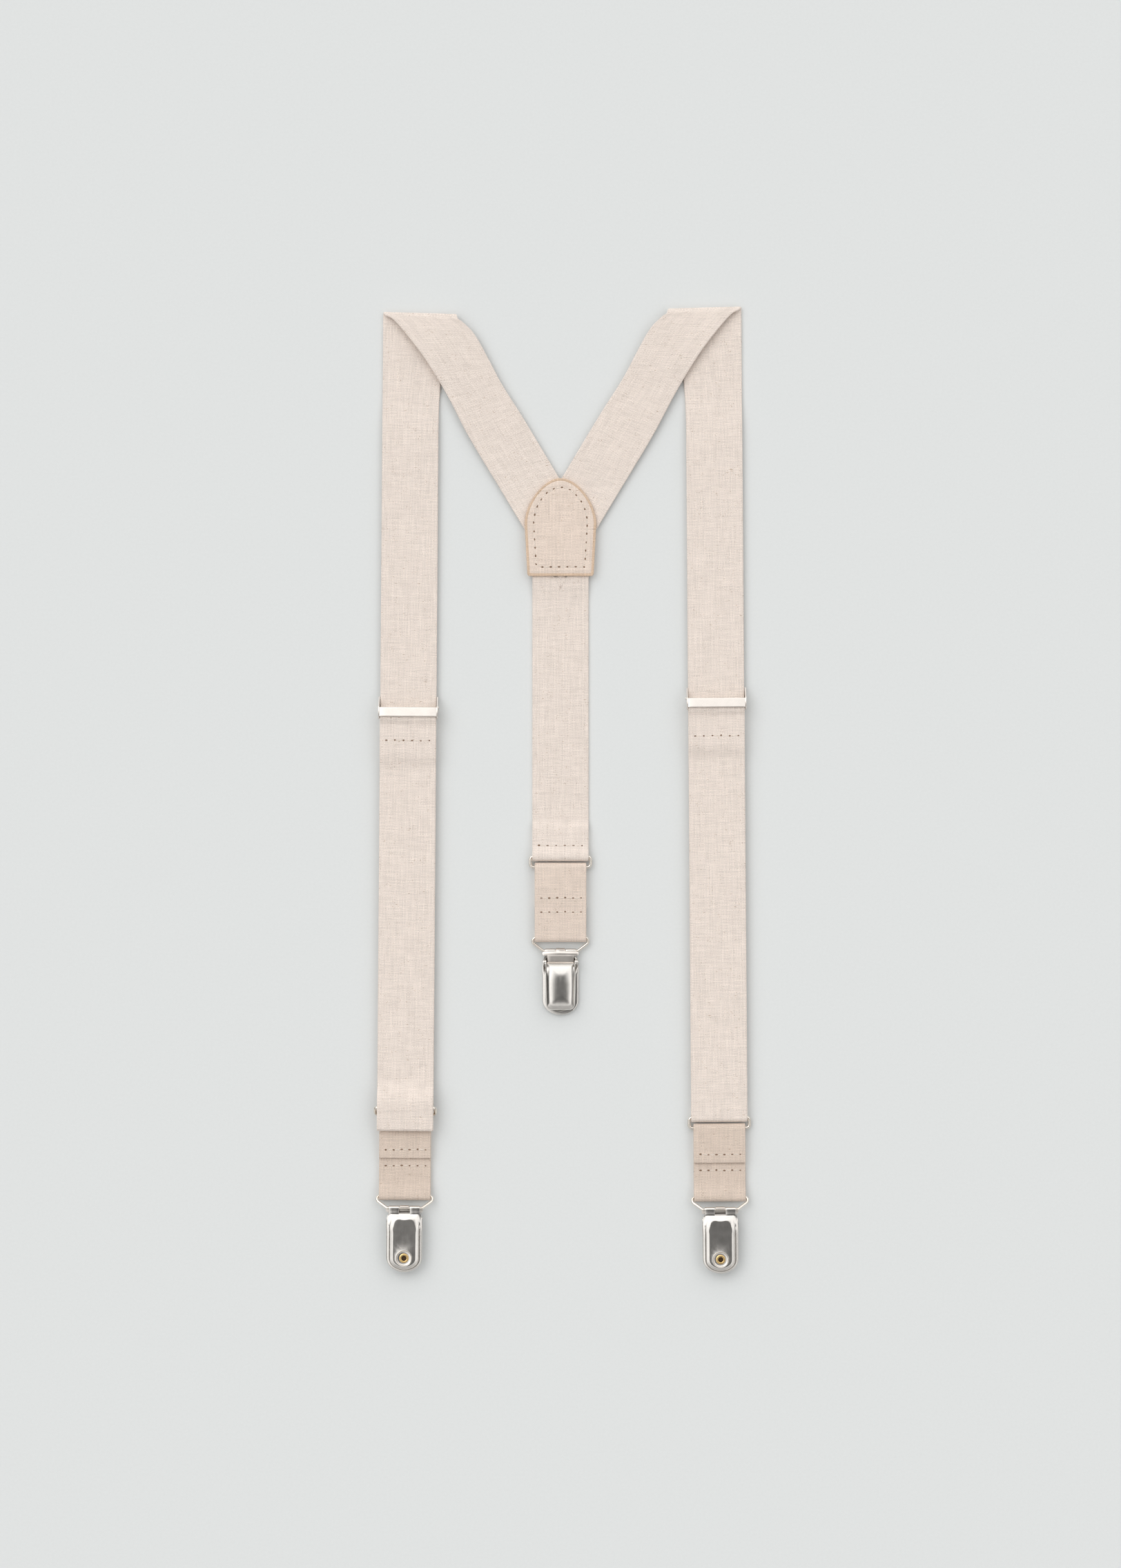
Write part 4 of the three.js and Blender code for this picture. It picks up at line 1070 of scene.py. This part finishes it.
def clip_base(leg, where):
    bm = bmesh.new()
    # (inset, level) round the pan's outer face, back along its inner one, and through the dish
    outside = ((3.2, 0.0), (2.98, 0.0), (2.82, 0.04), (2.6, 0.14), (1.75, 0.56), (1.52, 0.68),
               (1.42, 0.86), (1.28, 0.86), (1.16, 0.68), (0.8, 0.72), (0.38, 0.86), (0.12, 1.1), (0.0, 1.5))
    inside = ((0.03, 1.9), (0.15, 2.02), (0.5, 2.09), (1.2, 2.2), (1.9, 2.3), (2.2, 2.2), (2.6, 1.4),
              (3.0, 0.75), (3.25, 0.6), (3.5, 0.6))
    dish = ((3.62, 0.0), (3.5, -0.04), (3.38, 0.02), (3.2, 0.34), (2.9, 0.46), (1.7, 0.5), (1.6, 0.6),
            (1.6, 1.0), (1.7, 1.1), (3.4, 1.1), (3.7, 0.9), (3.8, 0.66), (3.9, 0.6))

    def apron(inset):
        t = min(max((2.95 - inset) / 2.95, 0), 1)
        return 1.2 * t * t * (3 - 2 * t)

    outlines = [clip_outline(i, z, apron(i)) for i, z in outside]
    outlines += [clip_outline(i, z, apron(i) + 0.5) for i, z in inside]
    pierced(bm, outlines, [circle_at(eyelet_y, r, z) for r, z in dish])
    curl = [(-2.9, 1.36), (-2.3, 1.36), (-1.6, 1.26), (-0.9, 1.12)]
    curl += arc(0, knuckle_level, 0.82, -102, 232, 22)
    for x0, x1 in ((-6.8, -2.4), (2.4, 6.8)):
        lay(bm, *spanning(curl, x0, x1), 0.48, 0.1, columns=3)
    inner = 6.8 + cloth_gap
    for side in (-1, 1):
        x0 = inner if side > 0 else -inner - sheet
        eye = [(y, z) for y, z in arc(*lever_pivot, 1.05, -20, 200, 12)]
        ear = eye + [(-6.2, 3.6), (-6.4, 1.6), (-3.2, 1.6), (-3.4, 3.6)]
        blank(bm, [Vector((x0, y, z)) for y, z in ear], (sheet, 0, 0), 0.1)
    hung_piece(bm, f"{leg}_clip_plate", where, f"{leg}_clip", f"{leg}_clip_base", nickel)


def clip_jaw(leg, where):
    hook = bail_wire / 2 + 0.4
    plate_level = knuckle_level + 1.06 + 0.1 + 0.25
    bm = bmesh.new()
    hook_top = knuckle_level + hook
    tongue = arc(0, knuckle_level, hook, -70, 95, 14) + [(-0.7, hook_top), (-1.3, hook_top)]
    lay(bm, *spanning(tongue, -2, 2), sheet, 0.12, columns=4)
    block(bm, (-1.9, 1.9), (-1.3, -0.3), (hook_top - 0.1, plate_level))
    # the wings are one bar with round ends, and its upper edge is eased
    wing_y, wing_reach, end = -1.1, 8.1, 1.02
    wing = [Vector((s * (wing_reach - end) + s * end * math.sin(a), wing_y + s * end * math.cos(a), 0))
            for s in (1, -1) for a in (math.pi * i / 8 for i in range(9))]
    stacked(bm, [[Vector((p.x * k, wing_y + (p.y - wing_y) * k, z)) for p in wing]
                 for k, z in ((0.94, 3.1), (1.0, 3.2), (1.0, 3.46), (0.98, 3.58), (0.93, 3.64))])
    neck = [(-1.7, 3.42), (-2.6, 3.34), (-3.8, 3.22), (-5, 3.12), (-7, 3.08)]
    neck += [(-9 - 1.9 * i, 3.05 - 0.014 * i) for i in range(8)] + [(-23.1, 2.8), (-23.5, 2.5), (-23.6, 2.2)]
    lay(bm, *spanning(neck, -5.8, 5.8), sheet, 0.14, columns=6)
    # the wings and tongue slope down towards the bail, except the points on the centre line
    for v in bm.verts:
        if v.co.z > 3.0 and v.co.y > -2.1 and v.co.x != 0:
            v.co.z -= 0.13 * (v.co.y + 2.1)
    hung_piece(bm, f"{leg}_jaw_plate", where, f"{leg}_jaw", f"{leg}_clip_jaw", satin_nickel)


def cover_outline(inset, z):
    """The cover lever's outline: a little waisted at its top, squared at its foot."""
    half = 6.8 - inset
    k = half / 6.8
    top = lever_pivot[0] - 0.1 - inset
    foot = lever_pivot[0] - 0.1 - 21 + inset
    corner = curve(z, 8, (-half + 0.5 * k, foot + 2.4 * k), (-half + 0.55 * k, foot + 0.9 * k),
                   (-half + 1.5 * k, foot), (-half + 3.2 * k, foot))
    start, middle = Vector((-half + 0.4 * k, top, z)), Vector((-half - 0.1 * k, (top + foot) / 2, z))
    left = interpolate_bezier(start, start.lerp(middle, 0.66), corner[0].lerp(middle, 0.66), corner[0], 10)
    left += corner[1:] + [Vector((corner[-1].x * (1 - i / 4), foot, z)) for i in range(1, 5)]
    right = mirrored(left[:-1])
    return left + right + [Vector((right[-1].x * (1 - i / 4), top, z)) for i in range(1, 8)]


def clip_cover(leg, where):
    # the back clip's lever is rolled a little on its pin, which sets how it catches the light
    lever_roll = math.radians(3.5 if leg == "back" else 0)
    bm = bmesh.new()
    rim = 3.9
    inside = ((5.6, 6.1), (3.4, 6.08), (1.6, 5.85), (0.85, 5.3), (0.6, 4.6), (0.55, rim + 0.1), (0.45, rim))
    outside = ((0.1, rim), (0.0, rim + 0.1), (0.0, 4.3), (0.08, 4.55), (0.5, 5.02), (1.0, 5.5), (1.5, 5.9),
               (1.8, 6.06), (2.1, 6.17), (2.7, 6.31), (3.5, 6.46), (4.6, 6.6), (5.9, 6.7))
    stacked(bm, [cover_outline(i, z) for i, z in inside + outside])
    # the dome falls away towards both ends
    for v in bm.verts:
        if v.co.z > 5.2:
            v.co.z -= 0.8 * max(0, (v.co.y + 14.5) / 9) ** 2 + 0.3 * max(0, (-19.5 - v.co.y) / 6) ** 2
    y, z = lever_pivot
    bmesh.ops.rotate(bm, verts=bm.verts, cent=(0, 0, z), matrix=Matrix.Rotation(lever_roll, 3, "Y"))
    for side in (-1, 1):
        rod(bm, 1.02, side * 6.25, side * 6.8, y, z, 20)
        rod(bm, 0.4, side * 6.4, side * 7.9, y, z, 16, 0.16)
        low, high = sorted((side * 6.25, side * 6.8))
        block(bm, (low, high), (y - 2.2, y - 0.1), (z - 0.7, z + 1.0))
    rod(bm, 0.4, -6.4, 6.4, y - 1.0, z - 0.6, 12)
    hung_piece(bm, f"{leg}_cover_lever", where, f"{leg}_cover", f"{leg}_clip_cover", nickel)


def pad_outline(inset, z):
    half, foot, top = 4.6 - inset, -clip_length + 3.6 + inset, -clip_length + 9.9 - inset
    left = [Vector((-half, top + (foot + 2.4 - top) * i / 4, z)) for i in range(4)]
    left += curve(z, 8, (-half, foot + 2.4), (-half + 0.3, foot + 0.8), (-1.6, foot), (0, foot))
    right = mirrored(left[:-1])
    return left + right + [Vector((half * (1 - i / 3), top, z)) for i in range(1, 6)]


def pad_and_eyelet(leg, where):
    bm = bmesh.new()
    outlines = ((0.3, 1.2), (0.12, 1.2), (0.0, 1.3), (0.0, 1.68), (0.1, 1.78), (0.3, 1.8))
    hole = ((2.15, 1.2), (2.05, 1.2), (1.97, 1.28), (1.97, 1.7), (2.05, 1.8), (2.15, 1.8))
    pierced(bm, [pad_outline(i, z) for i, z in outlines], [circle_at(eyelet_y, r, z) for r, z in hole])
    for down in (0.45, 1.15, 1.85, 2.55):
        y = -clip_length + 9.9 - down
        reach = 4.3 if down < 2.5 else 3.0
        rod(bm, 0.2, -reach, reach, y, 1.8, 10, 0.06)
    hung_piece(bm, f"{leg}_pad", where, f"{leg}_clip", f"{leg}_grip_pad", pad_look, slot="grip_plastic")
    bm = bmesh.new()
    profile = [(1.15, 0.25), (1.2, 0.1), (1.4, -0.02), (1.75, 0.0), (2.0, 0.1), (2.05, 0.26), (1.95, 0.36),
               (1.5, 0.4), (1.5, 1.2), (1.8, 1.26), (1.86, 1.5), (1.6, 1.7), (1.25, 1.64), (1.15, 1.4)]
    verts = [bm.verts.new((r, 0, z)) for r, z in profile]
    edges = [bm.edges.new(pair) for pair in zip(verts, verts[1:] + verts[:1])]
    bmesh.ops.spin(bm, geom=verts + edges, cent=(0, 0, 0), axis=(0, 0, 1), dvec=(0, 0, 0), angle=2 * math.pi,
                   steps=32, use_merge=True, use_duplicate=False)
    bmesh.ops.remove_doubles(bm, verts=bm.verts, dist=1e-4)
    # the bore's inner walls take the second, dark brown material: painted shade deep inside the eyelet
    for face in bm.faces:
        middle = face.calc_center_median()
        face.material_index = 1 if math.hypot(middle.x, middle.y) < 1.19 and middle.z > 0.2 else 0
    # a dark plug deep in the bore stands for its shadow
    floor = bmesh.ops.create_cone(bm, cap_ends=True, segments=32, radius1=1.16, radius2=1.16, depth=0.2,
                                  matrix=Matrix.Translation((0, 0, 1.2)))["verts"]
    for face in {f for v in floor for f in v.link_faces}:
        face.material_index = 1
    hung_piece(bm, f"{leg}_brass_eyelet", where @ Matrix.Translation((0, eyelet_y, 0)), f"{leg}_clip",
               f"{leg}_eyelet", brass, painted_bore_shade, slot="eyelet_brass")


for leg in side_of:
    clip_y, clip_z = place_of(leg, "clip_swing")
    flipped = leg != "back"
    where = space[leg] @ Matrix.Translation((0, clip_y, clip_height if flipped else 0))
    where = where @ Matrix.Rotation(math.pi if flipped else 0, 4, "Y")
    clip_base(leg, where)
    clip_jaw(leg, where)
    clip_cover(leg, where)
    pad_and_eyelet(leg, where)
